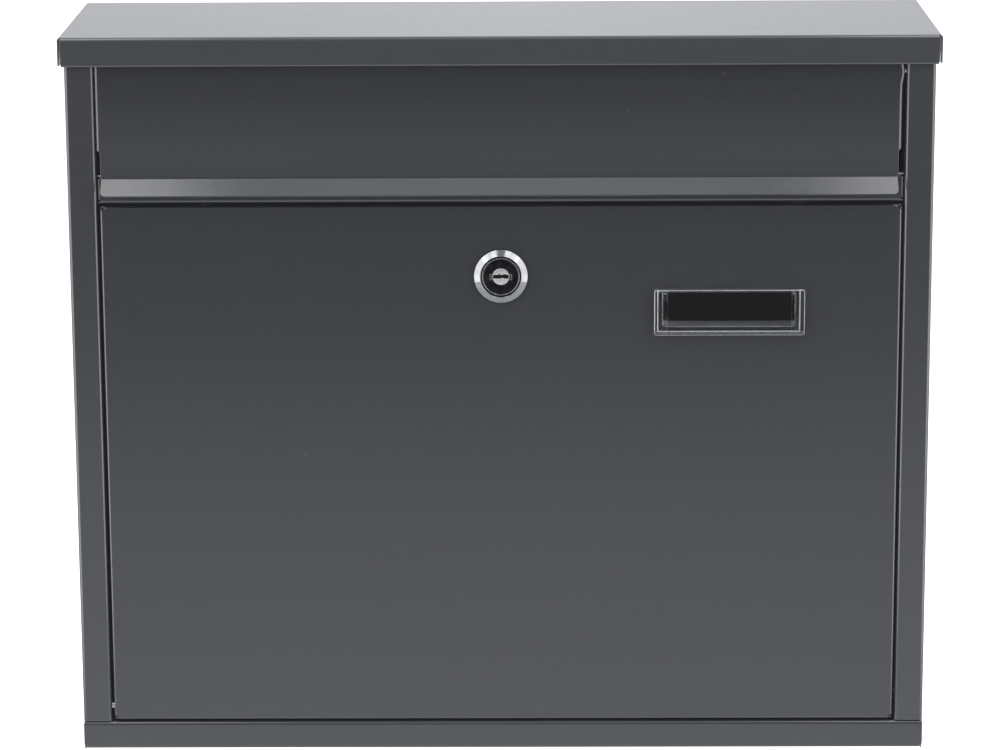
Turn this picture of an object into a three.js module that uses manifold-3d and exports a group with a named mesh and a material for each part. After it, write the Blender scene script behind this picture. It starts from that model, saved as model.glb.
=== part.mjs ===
// Wall mounted mailbox in folded, powder-coated sheet steel: a shallow case with a sloping hood, a posting
// flap hung under the hood, and a bottom-hinged door with a cam lock and a clear nameplate window.
// Millimetres, +Z up, +X right seen from the front, +Y into the wall. The group's origin is the middle of
// the four wall holes, on the face that lies on the wall.
import * as THREE from 'three';
import { mergeVertices } from 'three/addons/utils/BufferGeometryUtils.js';
import Module from 'manifold-3d';

const wasm = await Module();
wasm.setup();

// ---------------------------------------------------------------- driving dimensions
const SHEET = 0.8; // steel sheet, every folded piece
const GAP = 0.3; // between pieces that touch on the real object
const BEND = 1.6; // outer radius of the case and hood folds
const FINE_BEND = 1.1; // outer radius of the door and flap folds

const HOOD_WIDTH = 360;
const HOOD_DEPTH = 90; // wall to fascia
const HOOD_FRONT = 302.1; // height of the hood's front top edge
const HOOD_RISE = 7.04; // the top climbs this much from the fascia to the wall
const FASCIA_FOOT = 290.2;
const HEM = 1.6; // thickness of the fascia's folded lower edge
const HEM_HEIGHT = 4.8;
const HOOD_FLANGE = 11; // depth of the hood's side flanges

const BODY_WIDTH = 355.8;
const BODY_DEPTH = 88;
const POST_WIDTH = 12.1; // front flange beside the door
const LIP_DEPTH = 12; // the flange behind each post's inner edge
const TOP_FLANGE = { overOpening: 2, behindLip: 4, beforeWall: 6 }; // the case's flanges under the hood
const PAN_FRONT = 12; // height of the bottom rail
const PAN = { lip: 8, upstand: 10, corner: 2, flangeHeight: 10, flangeFront: 16, flangeRear: 8 };

const RAIL_FOOT = 233.5;
const RAIL_TOP = 245.9;
const RAIL_RECESS = 1.2; // the rail's face lies this far behind the posts
const RAIL_DEPTH = 16;
const RAIL_TOP_DEPTH = 12;
const RAIL_TAB = { inset: 1.4, behindRivet: 4 };
const RIVET_SETBACK = 8; // behind the posts' face

const DOOR = { left: -164.7, right: 165.0, foot: 12.9, top: 232.6 };
const DOOR_FLANGE = { side: 10, top: 8, foot: 7 };
const DOOR_AXIS = { y: -84.3, z: 18.3 };
const CORNER_RELIEF = 1.2;
const DOOR_EAR = 4.6; // radius of the side flange's foot, about the hinge pin

const FLAP = { left: -165.45, right: 164.4, top: 292.3, shoulder: 255.6, fold: 243.9 };
const FLAP_FLANGE = 9;
const FLANGE_TAPER = { depth: 5, height: 13 }; // sloping foot of the flap's side flanges
const FLAP_STEP = 1.2; // the flap is this much narrower at each side below its side flanges
const FLAP_AXIS = { y: -83.75, z: 287.4 };
const LIP_REACH = 6.4; // the finger lip leans forward this far, and drops as far
const LIP_CORNER = 2.4;

const PIN = { radius: 1.5, hole: 1.6, head: 2.6, headThick: 1.2, tail: 2.4, tailThick: 1.0 };

const LOCK = { x: 0.2, z: 203.4 };
const BEZEL = { outer: 11.15, inner: 8.4, thick: 2.6, rim: 0.7, recess: 1.7 };
const BARREL = { outer: 9.4, bore: 7.5, back: -70, clearance: 0.15 };
const RING = { inner: 7.35, outer: 7.9, sunk: 0.5 };
const PLUG = { play: 0.1, sunk: 0.6, rear: 0.6 }; // rear: the plug's shoulder, before the barrel's back
const CORE = { radius: 3.5, depth: 6, sunk: 0.2, slotWidth: 6.4, slotHeight: 1.6, slotDepth: 5 };
const TAIL = { half: 3.5, bore: 2.6, play: 0.1 };
const LOCK_NUT = { flats: 24, thick: 4 };
const CAM = { length: 36, width: 13, thick: 2, y: -68.9, corner: 3, boss: 8, neck: 8 };
const WASHER = { outer: 6, thick: 1 };
const CAM_SCREW = { flats: 8, head: 3.5, reach: 7 };

const PLATE = { x: 94.4, z: 188.2, width: 62, height: 19, proud: 3.5, thick: 1.6, corner: 0.9 };
const PLATE_RIB = { inset: 1.6, below: 2.1, thick: 1.8 }; // the U-shaped rib behind the clear plate
const PLATE_CUTOUT = { width: 55.4, height: 11.8, z: 190.3 };
const SNAP_LEG = { thick: 1.6, reach: 3.2, hook: 1, hookInset: 3 };

const WALL_HOLE = { x: 130, low: 60.8, high: 240.8, radius: 3.25 };
const STUD = { x: 170.4, front: -62, rear: -16, radius: 2, length: 9, hole: 2.3 };
const HOOD_NUT = { flats: 7, thick: 3.2, play: 0.15 };

// ---------------------------------------------------------------- worked-out places
const FRONT = -BODY_DEPTH;
const HALF_BODY = BODY_WIDTH / 2;
const HALF_OPENING = HALF_BODY - POST_WIDTH;
const HALF_HOOD = HOOD_WIDTH / 2;
const SLOPE = Math.atan2(HOOD_RISE, HOOD_DEPTH);
const hoodTop = (y) => HOOD_FRONT + Math.tan(SLOPE) * (y + HOOD_DEPTH);
const SHEET_UP = SHEET / Math.cos(SLOPE); // the sloping sheet's thickness, measured straight up
const hoodUnder = (y) => hoodTop(y) - SHEET_UP;
const LIP_OUTER = HALF_OPENING + SHEET; // the lip's face inside the post
const RIVET = { y: FRONT + RIVET_SETBACK, z: (RAIL_FOOT + RAIL_TOP) / 2 };
const ABOVE = HOOD_FRONT + HOOD_RISE + 20; // clear of the whole mailbox
const cornerRadius = (flats) => flats / 2 / Math.cos(Math.PI / 6); // of a hexagon

// ---------------------------------------------------------------- geometry helpers
function toSolid(geometry) {
  const bare = geometry.clone();
  bare.deleteAttribute('normal');
  bare.deleteAttribute('uv');
  const merged = mergeVertices(bare, 1e-5);
  return new wasm.Manifold(new wasm.Mesh({
    numProp: 3,
    vertProperties: new Float32Array(merged.attributes.position.array),
    triVerts: new Uint32Array(merged.index.array),
  }));
}

function toGeometry(solid) {
  const mesh = solid.getMesh();
  const geometry = new THREE.BufferGeometry();
  geometry.setAttribute('position', new THREE.BufferAttribute(new Float32Array(mesh.vertProperties), 3));
  geometry.setIndex(new THREE.BufferAttribute(new Uint32Array(mesh.triVerts), 1));
  geometry.computeVertexNormals();
  return geometry;
}

function box(x0, x1, y0, y1, z0, z1) {
  const geometry = new THREE.BoxGeometry(x1 - x0, y1 - y0, z1 - z0);
  return toSolid(geometry.translate((x0 + x1) / 2, (y0 + y1) / 2, (z0 + z1) / 2));
}

// Matrices that lay a drawing's (u, v) plane in the model: the third column is the extrusion's direction.
const PLAN = new THREE.Matrix4();
const SIDE = new THREE.Matrix4().set(0, 0, 1, 0, 1, 0, 0, 0, 0, 1, 0, 0, 0, 0, 0, 1);
const FACE = new THREE.Matrix4().set(1, 0, 0, 0, 0, 0, -1, 0, 0, 1, 0, 0, 0, 0, 0, 1);

function extrude(shape, from, to) {
  const geometry = new THREE.ExtrudeGeometry(shape, {
    depth: to - from, bevelEnabled: false, curveSegments: 10,
  });
  return geometry.translate(0, 0, from);
}

const alongZ = (shape, z0, z1) => toSolid(extrude(shape, z0, z1).applyMatrix4(PLAN));
const alongX = (shape, x0, x1) => toSolid(extrude(shape, x0, x1).applyMatrix4(SIDE));
const alongY = (shape, y0, y1) => toSolid(extrude(shape, -y1, -y0).applyMatrix4(FACE));

// A sheet of steel seen edge on: its middle line runs through the points, with a round fold at each corner.
function sheetShape(points, outerRadius, steps = 4) {
  const middle = outerRadius - SHEET / 2;
  const stations = [];
  const last = points.length - 1;
  const leftOf = (dir) => new THREE.Vector2(-dir.y, dir.x);
  points.forEach(([u, v], i) => {
    const here = new THREE.Vector2(u, v);
    const into = i > 0 ? here.clone().sub(new THREE.Vector2(...points[i - 1])).normalize() : null;
    const out = i < last ? new THREE.Vector2(...points[i + 1]).sub(here).normalize() : null;
    if (!into || !out) {
      stations.push([here, leftOf(into ?? out)]);
      return;
    }
    const turn = Math.atan2(into.cross(out), into.dot(out));
    const start = here.clone().addScaledVector(into, -middle * Math.tan(Math.abs(turn) / 2));
    const side = Math.sign(turn);
    const centre = start.clone().addScaledVector(leftOf(into), side * middle);
    for (let k = 0; k <= steps; k++) {
      const normal = leftOf(into).rotateAround(new THREE.Vector2(), (turn * k) / steps);
      stations.push([centre.clone().addScaledVector(normal, -side * middle), normal]);
    }
  });
  const offset = (sign) => stations.map(([p, n]) => p.clone().addScaledVector(n, (sign * SHEET) / 2));
  return new THREE.Shape([...offset(1), ...offset(-1).reverse()]);
}

function polygon(points) {
  return new THREE.Shape(points.map(([u, v]) => new THREE.Vector2(u, v)));
}

function roundedRect(u0, u1, v0, v1, radius) {
  const shape = new THREE.Shape();
  shape.moveTo(u0 + radius, v0);
  shape.lineTo(u1 - radius, v0);
  shape.absarc(u1 - radius, v0 + radius, radius, -Math.PI / 2, 0, false);
  shape.lineTo(u1, v1 - radius);
  shape.absarc(u1 - radius, v1 - radius, radius, 0, Math.PI / 2, false);
  shape.lineTo(u0 + radius, v1);
  shape.absarc(u0 + radius, v1 - radius, radius, Math.PI / 2, Math.PI, false);
  shape.lineTo(u0, v0 + radius);
  shape.absarc(u0 + radius, v0 + radius, radius, Math.PI, Math.PI * 1.5, false);
  return shape;
}

// Round rod along X or Y, through the point given by the other two coordinates.
function rodX(x0, x1, y, z, radius, sides = 32) {
  const geometry = new THREE.CylinderGeometry(radius, radius, x1 - x0, sides);
  return toSolid(geometry.rotateZ(-Math.PI / 2).translate((x0 + x1) / 2, y, z));
}

function rodY(y0, y1, x, z, radius, sides = 32) {
  const geometry = new THREE.CylinderGeometry(radius, radius, y1 - y0, sides);
  return toSolid(geometry.translate(x, (y0 + y1) / 2, z));
}

// A turned piece on an axis along Y: the profile's points are (radius, y).
function turnedY(profile, x, z, sides = 48) {
  const geometry = new THREE.LatheGeometry(profile.map(([r, y]) => new THREE.Vector2(r, y)), sides);
  return toSolid(geometry.translate(x, 0, z));
}

const cut = (solid, ...tools) => tools.reduce((rest, tool) => rest.subtract(tool), solid);
const join = (solid, ...others) => others.reduce((whole, other) => whole.add(other), solid);
const bothSides = (make) => [-1, 1].map(make);

// ---------------------------------------------------------------- materials
const finish = (color, roughness, metalness) => () => new THREE.MeshStandardMaterial({
  color, roughness, metalness,
});
const coat = finish(0x4b4d50, 0.42, 0.1);
const chrome = finish(0xd8dadc, 0.12, 1.0);
const zinc = finish(0xb9bcc0, 0.38, 1.0);
const blackPlug = finish(0x17181a, 0.35, 0.2);
const clearPlastic = () => new THREE.MeshStandardMaterial({
  color: 0xcfd4d6, roughness: 0.1, metalness: 0, transparent: true, opacity: 0.4,
});

const mailbox = new THREE.Group();
mailbox.position.z = -(WALL_HOLE.low + WALL_HOLE.high) / 2;

function addPiece(name, solid, material, parent = mailbox) {
  const mesh = new THREE.Mesh(toGeometry(solid), material());
  mesh.name = name;
  parent.add(mesh);
  return mesh;
}

// ---------------------------------------------------------------- case
// A parallel strip just under the hood, following its slope.
function slopedStrip(x0, x1, y0, y1, below, thick) {
  const at = (y, drop) => [y, hoodUnder(y) - drop];
  const corners = [at(y0, below), at(y1, below), at(y1, below + thick), at(y0, below + thick)];
  return alongX(polygon(corners), x0, x1);
}

// A rod square to the hood's top, from a depth below its underside to another.
function studRod(x, y, from, to, radius, sides = 24) {
  const geometry = new THREE.CylinderGeometry(radius, radius, to - from, sides);
  geometry.translate(0, -(from + to) / 2, 0).rotateX(Math.PI / 2).rotateX(SLOPE);
  return toSolid(geometry.translate(x, y, hoodUnder(y)));
}

const studPlaces = bothSides((side) => [STUD.front, STUD.rear].map((y) => [side * STUD.x, y])).flat();

function makeCaseShell() {
  const half = HALF_BODY - SHEET / 2;
  const lip = HALF_OPENING + SHEET / 2;
  const lipBack = FRONT + LIP_DEPTH;
  const front = FRONT + SHEET / 2;
  const wall = -SHEET / 2;
  const outline = [
    [lip, lipBack], [lip, front], [half, front], [half, wall],
    [-half, wall], [-half, front], [-lip, front], [-lip, lipBack],
  ];
  const height = HOOD_FRONT + HOOD_RISE;
  const walls = alongZ(sheetShape(outline, BEND), 0, height);
  const aboveHood = alongX(polygon([
    [FRONT - 10, hoodUnder(FRONT - 10) - GAP], [10, hoodUnder(10) - GAP],
    [10, ABOVE], [FRONT - 10, ABOVE],
  ]), -HALF_HOOD, HALF_HOOD);
  const panTop = PAN_FRONT + GAP;
  const frontOfPan = box(-HALF_HOOD, HALF_HOOD, FRONT - 1, FRONT + SHEET + GAP, -1, panTop);
  const lipFeet = box(-HALF_OPENING - 4, HALF_OPENING + 4, FRONT - 1, lipBack + 1, -1, panTop);
  const topFlanges = bothSides((side) => {
    const inner = HALF_OPENING - TOP_FLANGE.overOpening;
    const [x0, x1] = [side * inner, side * half].sort((a, b) => a - b);
    return slopedStrip(x0, x1, lipBack + TOP_FLANGE.behindLip, -TOP_FLANGE.beforeWall, GAP, SHEET);
  });
  const wallHoles = bothSides((side) => [WALL_HOLE.low, WALL_HOLE.high].map(
    (z) => rodY(-3, 3, side * WALL_HOLE.x, z, WALL_HOLE.radius),
  )).flat();
  const pinHoles = [DOOR_AXIS, FLAP_AXIS].flatMap(({ y, z }) => bothSides(
    (side) => rodX(side * HALF_OPENING - 3, side * HALF_OPENING + 3, y, z, PIN.hole),
  ));
  const rivetHoles = bothSides(
    (side) => rodX(side * HALF_OPENING - 3, side * HALF_OPENING + 3, RIVET.y, RIVET.z, PIN.hole),
  );
  const studHoles = studPlaces.map(([x, y]) => studRod(x, y, -1, 4, STUD.hole));
  const shell = cut(walls, aboveHood, frontOfPan, lipFeet);
  return cut(join(shell, ...topFlanges), ...wallHoles, ...pinHoles, ...rivetHoles, ...studHoles);
}

function makePan() {
  const front = FRONT + SHEET / 2;
  const rear = -SHEET - GAP - SHEET / 2;
  const floor = SHEET / 2;
  const shelf = PAN_FRONT - SHEET / 2;
  const outline = [
    [FRONT + PAN.lip, shelf], [front, shelf], [front, floor], [rear, floor], [rear, PAN.upstand],
  ];
  const folded = alongX(sheetShape(outline, BEND), -HALF_BODY, HALF_BODY);
  const insideWall = HALF_BODY - SHEET - GAP;
  const besideWalls = bothSides((side) => {
    const [x0, x1] = [side * insideWall, side * (HALF_BODY + 1)].sort((a, b) => a - b);
    return box(x0, x1, FRONT + SHEET, 1, -1, 20);
  });
  const { corner } = PAN;
  const cornerCuts = bothSides((side) => {
    const [x0, x1] = [side * (HALF_BODY - corner), side * (HALF_BODY + 1)].sort((a, b) => a - b);
    const block = box(x0, x1, FRONT - 1, FRONT + SHEET + 2, -1, corner);
    return cut(block, rodY(FRONT - 2, FRONT + SHEET + 3, side * (HALF_BODY - corner), corner, corner));
  });
  const sideFlanges = bothSides((side) => {
    const [x0, x1] = [side * insideWall, side * (insideWall - SHEET)].sort((a, b) => a - b);
    return box(x0, x1, FRONT + PAN.flangeFront, -PAN.flangeRear, SHEET / 2, PAN.flangeHeight);
  });
  return join(cut(folded, ...besideWalls, ...cornerCuts), ...sideFlanges);
}

function makeRail() {
  const front = FRONT + RAIL_RECESS + SHEET / 2;
  const face = FRONT + RAIL_RECESS;
  const [low, high] = [RAIL_FOOT + SHEET / 2, RAIL_TOP - SHEET / 2];
  const half = HALF_OPENING - GAP;
  const outline = [[face + RAIL_TOP_DEPTH, high], [front, high], [front, low], [face + RAIL_DEPTH, low]];
  const channel = alongX(sheetShape(outline, BEND), -half, half);
  const tabs = bothSides((side) => {
    const [x0, x1] = [side * half, side * (half - SHEET)].sort((a, b) => a - b);
    const tab = box(x0, x1, front, RIVET.y + RAIL_TAB.behindRivet, low + RAIL_TAB.inset, high - RAIL_TAB.inset);
    return cut(tab, rodX(x0 - 1, x1 + 1, RIVET.y, RIVET.z, PIN.hole));
  });
  return join(channel, ...tabs);
}

addPiece('case_shell', makeCaseShell(), coat);
addPiece('bottom_pan', makePan(), coat);
addPiece('cross_rail', makeRail(), coat);

// ---------------------------------------------------------------- hood
function makeHood() {
  const half = HALF_HOOD - SHEET / 2;
  const frontFace = -HOOD_DEPTH + SHEET / 2;
  const middle = (y) => hoodTop(y) - SHEET_UP / 2;
  const fasciaEnd = HALF_HOOD - SHEET - GAP;
  const hemCentre = [-HOOD_DEPTH + HEM / 2, FASCIA_FOOT + HEM / 2];
  const topAndFascia = alongX(
    sheetShape([[0, middle(0)], [frontFace, middle(frontFace)], [frontFace, hemCentre[1]]], BEND),
    -fasciaEnd, fasciaEnd,
  );
  const hem = join(
    rodX(-fasciaEnd, fasciaEnd, ...hemCentre, HEM / 2, 24),
    box(-fasciaEnd, fasciaEnd, -HOOD_DEPTH, -HOOD_DEPTH + HEM, hemCentre[1], FASCIA_FOOT + HEM_HEIGHT),
  );
  // The cap is an upside-down channel that follows the slope, cut off square to the wall at both ends.
  const channel = sheetShape([[half, -HOOD_FLANGE], [half, 0], [-half, 0], [-half, -HOOD_FLANGE]], BEND);
  const length = HOOD_DEPTH / Math.cos(SLOPE) + 8;
  const channelSolid = extrude(channel, -length, 4);
  channelSolid.rotateX(-Math.PI / 2);
  channelSolid.rotateY(Math.PI);
  channelSolid.rotateX(SLOPE);
  channelSolid.translate(0, 0, middle(0));
  const wholeHeight = (halfWidth, y0, y1) => box(-halfWidth, halfWidth, y0, y1, RAIL_TOP, ABOVE);
  const tooFarBack = wholeHeight(HALF_HOOD + 1, 0, 20);
  const tooFarForward = wholeHeight(HALF_HOOD + 1, -HOOD_DEPTH - 20, -HOOD_DEPTH);
  const behindFascia = wholeHeight(fasciaEnd + GAP, -HOOD_DEPTH - 1, -HOOD_DEPTH + BEND);
  const cap = cut(toSolid(channelSolid), tooFarBack, tooFarForward, behindFascia);
  const studs = studPlaces.map(([x, y]) => studRod(x, y, -SHEET / 2, STUD.length, STUD.radius));
  return join(cap, topAndFascia, hem, ...studs);
}

addPiece('hood', makeHood(), coat);

// Hexagon nuts on the hood's welded studs, under the case's top flanges.
function makeHoodNut(x, y) {
  const under = GAP + SHEET + GAP;
  const nut = studRod(x, y, under, under + HOOD_NUT.thick, cornerRadius(HOOD_NUT.flats), 6);
  return cut(nut, studRod(x, y, under - 1, under + HOOD_NUT.thick + 1, STUD.radius + HOOD_NUT.play));
}

for (const [x, y] of studPlaces) {
  const name = `hood_nut_${x < 0 ? 'left' : 'right'}_${y === STUD.front ? 'front' : 'rear'}`;
  addPiece(name, makeHoodNut(x, y), zinc);
}

// ---------------------------------------------------------------- pins and rivets
// One rod with a head on each end, along X: the head sits inside the flange, the tail inside the post.
function makePin(side, flangeInner, axis) {
  const headEnd = flangeInner - GAP;
  const tailStart = LIP_OUTER + GAP;
  const parts = [
    [headEnd - PIN.headThick, headEnd, PIN.head],
    [headEnd - PIN.headThick / 2, tailStart + PIN.tailThick / 2, PIN.radius],
    [tailStart, tailStart + PIN.tailThick, PIN.tail],
  ];
  const rods = parts.map(([a, b, radius]) => {
    const [x0, x1] = [side * a, side * b].sort((p, q) => p - q);
    return rodX(x0, x1, axis.y, axis.z, radius);
  });
  return join(...rods);
}

const sideName = (side) => (side < 0 ? 'left' : 'right');

for (const side of [-1, 1]) {
  const doorInner = (side < 0 ? -DOOR.left : DOOR.right) - SHEET;
  const flapInner = (side < 0 ? -FLAP.left : FLAP.right) - SHEET;
  const tabInner = HALF_OPENING - GAP - SHEET;
  addPiece(`door_pin_${sideName(side)}`, makePin(side, doorInner, DOOR_AXIS), zinc);
  addPiece(`flap_pin_${sideName(side)}`, makePin(side, flapInner, FLAP_AXIS), zinc);
  addPiece(`rail_rivet_${sideName(side)}`, makePin(side, tabInner, RIVET), zinc);
}

// ---------------------------------------------------------------- posting flap
function makeFlap() {
  const front = FRONT + SHEET / 2;
  const back = FRONT + FLAP_FLANGE;
  const [left, right] = [FLAP.left + SHEET / 2, FLAP.right - SHEET / 2];
  const upper = alongZ(
    sheetShape([[left, back], [left, front], [right, front], [right, back]], FINE_BEND),
    FLAP.shoulder, FLAP.top,
  );
  const tip = [front - LIP_REACH, FLAP.fold - LIP_REACH];
  const [x0, x1] = [FLAP.left + FLAP_STEP, FLAP.right - FLAP_STEP];
  const lower = alongX(sheetShape([[front, FLAP.shoulder + 2], [front, FLAP.fold], tip], FINE_BEND), x0, x1);
  const flangeFoot = bothSides((side) => {
    const [a, b] = side < 0 ? [FLAP.left - 1, left + 2] : [right - 2, FLAP.right + 1];
    return alongX(polygon([
      [back - FLANGE_TAPER.depth, FLAP.shoulder - 1], [back + 1, FLAP.shoulder - 1],
      [back + 1, FLAP.shoulder + FLANGE_TAPER.height + 1],
    ]), a, b);
  });
  const holes = [rodX(FLAP.left - 2, FLAP.left + 3, FLAP_AXIS.y, FLAP_AXIS.z, PIN.hole),
    rodX(FLAP.right - 3, FLAP.right + 2, FLAP_AXIS.y, FLAP_AXIS.z, PIN.hole)];
  // The lip's free corners are round, seen square to the lip.
  const cornerCut = (x, side) => {
    const block = new THREE.BoxGeometry(LIP_CORNER + 1, LIP_CORNER + 1, 6);
    const round = new THREE.CylinderGeometry(LIP_CORNER, LIP_CORNER, 8, 32).rotateX(Math.PI / 2);
    const half = (LIP_CORNER + 1) / 2;
    const tool = cut(toSolid(block.translate(side * half, -half, 0)), toSolid(round));
    const turn = new THREE.Matrix4().makeRotationX(Math.PI / 4);
    const along = LIP_CORNER / Math.SQRT2;
    turn.setPosition(x - side * LIP_CORNER, tip[0] + along, tip[1] + along);
    return tool.transform(turn.toArray());
  };
  return cut(join(upper, lower), ...flangeFoot, ...holes, cornerCut(x0, -1), cornerCut(x1, 1));
}

addPiece('flap_panel', makeFlap(), coat);

// ---------------------------------------------------------------- door
// A tray with all four edges folded back: the outside of the folds, less the inside.
function trayBlock(inset, radius, back) {
  const [x0, x1] = [DOOR.left + inset, DOOR.right - inset];
  const [z0, z1] = [DOOR.foot + inset, DOOR.top - inset];
  const front = FRONT + inset;
  const frontRounded = (a, b) => {
    const shape = new THREE.Shape();
    shape.moveTo(back, a);
    shape.lineTo(back, b);
    shape.lineTo(front + radius, b);
    shape.absarc(front + radius, b - radius, radius, Math.PI / 2, Math.PI, false);
    shape.lineTo(front, a + radius);
    shape.absarc(front + radius, a + radius, radius, Math.PI, Math.PI * 1.5, false);
    return shape;
  };
  const upright = alongX(frontRounded(z0, z1), x0, x1);
  const plan = frontRounded(x0, x1);
  const swap = new THREE.Matrix4().set(0, 1, 0, 0, 1, 0, 0, 0, 0, 0, -1, 0, 0, 0, 0, 1);
  const across = toSolid(extrude(plan, -z1, -z0).applyMatrix4(swap));
  return upright.intersect(across);
}

function makeDoor() {
  const back = FRONT + DOOR_FLANGE.side;
  const tray = cut(trayBlock(0, FINE_BEND, back), trayBlock(SHEET, FINE_BEND - SHEET, back + 5));
  const trims = [
    box(DOOR.left + 1.6, DOOR.right - 1.6, FRONT + DOOR_FLANGE.top, 0, DOOR.top - 2, DOOR.top + 1),
    box(DOOR.left + 1.6, DOOR.right - 1.6, FRONT + DOOR_FLANGE.foot, 0, DOOR.foot - 1, DOOR.foot + 2),
  ];
  const reliefs = [DOOR.foot, DOOR.top].flatMap((z) => [DOOR.left, DOOR.right].map(
    (x) => rodY(FRONT - 1, back + 1, x, z, CORNER_RELIEF),
  ));
  const ears = bothSides((side) => {
    const [x0, x1] = side < 0 ? [DOOR.left - 1, DOOR.left + 1.6] : [DOOR.right - 1.6, DOOR.right + 1];
    const behind = box(x0, x1, DOOR_AXIS.y, back + 1, DOOR.foot - 1, DOOR_AXIS.z);
    return cut(behind, rodX(x0 - 1, x1 + 1, DOOR_AXIS.y, DOOR_AXIS.z, DOOR_EAR));
  });
  const pinHoles = [DOOR.left, DOOR.right].map(
    (x) => rodX(x - 3, x + 3, DOOR_AXIS.y, DOOR_AXIS.z, PIN.hole),
  );
  const lockHole = rodY(FRONT - 1, FRONT + 3, LOCK.x, LOCK.z, BARREL.outer + BARREL.clearance, 48);
  const [w, h] = [PLATE_CUTOUT.width / 2, PLATE_CUTOUT.height / 2];
  const [low, high] = [PLATE_CUTOUT.z - h, PLATE_CUTOUT.z + h];
  const plateHole = box(PLATE.x - w, PLATE.x + w, FRONT - 1, FRONT + 3, low, high);
  return cut(tray, ...trims, ...reliefs, ...ears, ...pinHoles, lockHole, plateHole);
}

addPiece('door_panel', makeDoor(), coat);

// ---------------------------------------------------------------- cam lock
const DOOR_BACK = FRONT + SHEET;
const SEAT = FRONT - GAP; // back of the bezel
const LOCK_FACE = SEAT - BEZEL.thick;
const SHOULDER = LOCK_FACE + BEZEL.recess;

addPiece('lock_body', turnedY([
  [BARREL.bore, BARREL.back], [BARREL.bore, SHOULDER], [BEZEL.inner, SHOULDER], [BEZEL.inner, LOCK_FACE],
  [BEZEL.inner + 0.35, LOCK_FACE], [BEZEL.outer, SEAT - BEZEL.rim], [BEZEL.outer, SEAT],
  [BARREL.outer, SEAT], [BARREL.outer, BARREL.back], [BARREL.bore, BARREL.back],
], LOCK.x, LOCK.z), chrome);

function makeRing() {
  const { inner, outer } = RING;
  const [front, back] = [LOCK_FACE + RING.sunk, SHOULDER - GAP];
  return turnedY([[inner, back], [inner, front], [outer, front], [outer, back], [inner, back]], LOCK.x, LOCK.z);
}

addPiece('lock_ring', makeRing(), chrome);

function makeLockNut() {
  const [y0, y1] = [DOOR_BACK + GAP, DOOR_BACK + GAP + LOCK_NUT.thick];
  const hexagon = rodY(y0, y1, LOCK.x, LOCK.z, cornerRadius(LOCK_NUT.flats), 6);
  return cut(hexagon, rodY(y0 - 1, y1 + 1, LOCK.x, LOCK.z, BARREL.outer + BARREL.clearance, 48));
}

addPiece('lock_nut', makeLockNut(), zinc);

const PLUG_FACE = LOCK_FACE + PLUG.sunk;
const CAM_BACK = CAM.y + CAM.thick;

function makePlug() {
  const face = RING.inner - 2 * PLUG.play;
  const stem = BARREL.bore - PLUG.play;
  const rear = BARREL.back + PLUG.rear;
  const turned = turnedY([
    [0, PLUG_FACE], [face, PLUG_FACE], [face, SHOULDER], [stem, SHOULDER], [stem, rear], [0, rear],
  ], LOCK.x, LOCK.z);
  const { half, bore } = TAIL;
  const tail = box(LOCK.x - half, LOCK.x + half, BARREL.back, CAM_BACK, LOCK.z - half, LOCK.z + half);
  const coreBore = rodY(PLUG_FACE - 1, PLUG_FACE + CORE.depth + GAP, LOCK.x, LOCK.z, CORE.radius + PLUG.play);
  const screwBore = rodY(CAM_BACK - 8, CAM_BACK + 1, LOCK.x, LOCK.z, bore);
  return cut(join(turned, tail), coreBore, screwBore);
}

function makeCore() {
  const [y0, y1] = [PLUG_FACE + CORE.sunk, PLUG_FACE + CORE.depth];
  const rod = rodY(y0, y1, LOCK.x, LOCK.z, CORE.radius);
  const [w, h] = [CORE.slotWidth / 2, CORE.slotHeight / 2];
  return cut(rod, box(LOCK.x - w, LOCK.x + w, y0 - 1, PLUG_FACE + CORE.slotDepth, LOCK.z - h, LOCK.z + h));
}

// The cam points right while the door is unlocked.
function makeCam() {
  const half = CAM.width / 2;
  const round = CAM.corner;
  const end = LOCK.x + CAM.length - round;
  const neck = LOCK.x + CAM.neck;
  const bar = new THREE.Shape();
  bar.absarc(LOCK.x, LOCK.z, CAM.boss, Math.PI / 2, Math.PI * 1.5, false);
  bar.lineTo(neck, LOCK.z - half);
  bar.lineTo(end, LOCK.z - half);
  bar.absarc(end, LOCK.z - half + round, round, -Math.PI / 2, 0, false);
  bar.absarc(end, LOCK.z + half - round, round, 0, Math.PI / 2, false);
  bar.lineTo(neck, LOCK.z + half);
  const side = TAIL.half + TAIL.play;
  const hole = box(LOCK.x - side, LOCK.x + side, CAM.y - 1, CAM_BACK + 1, LOCK.z - side, LOCK.z + side);
  return cut(alongY(bar, CAM.y, CAM_BACK), hole);
}

function makeCamWasher() {
  const [y0, y1] = [CAM_BACK + GAP, CAM_BACK + GAP + WASHER.thick];
  return cut(rodY(y0, y1, LOCK.x, LOCK.z, WASHER.outer), rodY(y0 - 1, y1 + 1, LOCK.x, LOCK.z, TAIL.bore));
}

function makeCamScrew() {
  const seat = CAM_BACK + GAP + WASHER.thick + GAP;
  const head = rodY(seat, seat + CAM_SCREW.head, LOCK.x, LOCK.z, cornerRadius(CAM_SCREW.flats), 6);
  const shank = rodY(CAM_BACK - CAM_SCREW.reach, seat + 1, LOCK.x, LOCK.z, TAIL.bore - BARREL.clearance);
  return join(head, shank);
}

addPiece('lock_plug', makePlug(), blackPlug);
addPiece('key_core', makeCore(), zinc);
addPiece('lock_cam', makeCam(), zinc);
addPiece('cam_washer', makeCamWasher(), zinc);
addPiece('cam_screw', makeCamScrew(), zinc);

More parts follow.
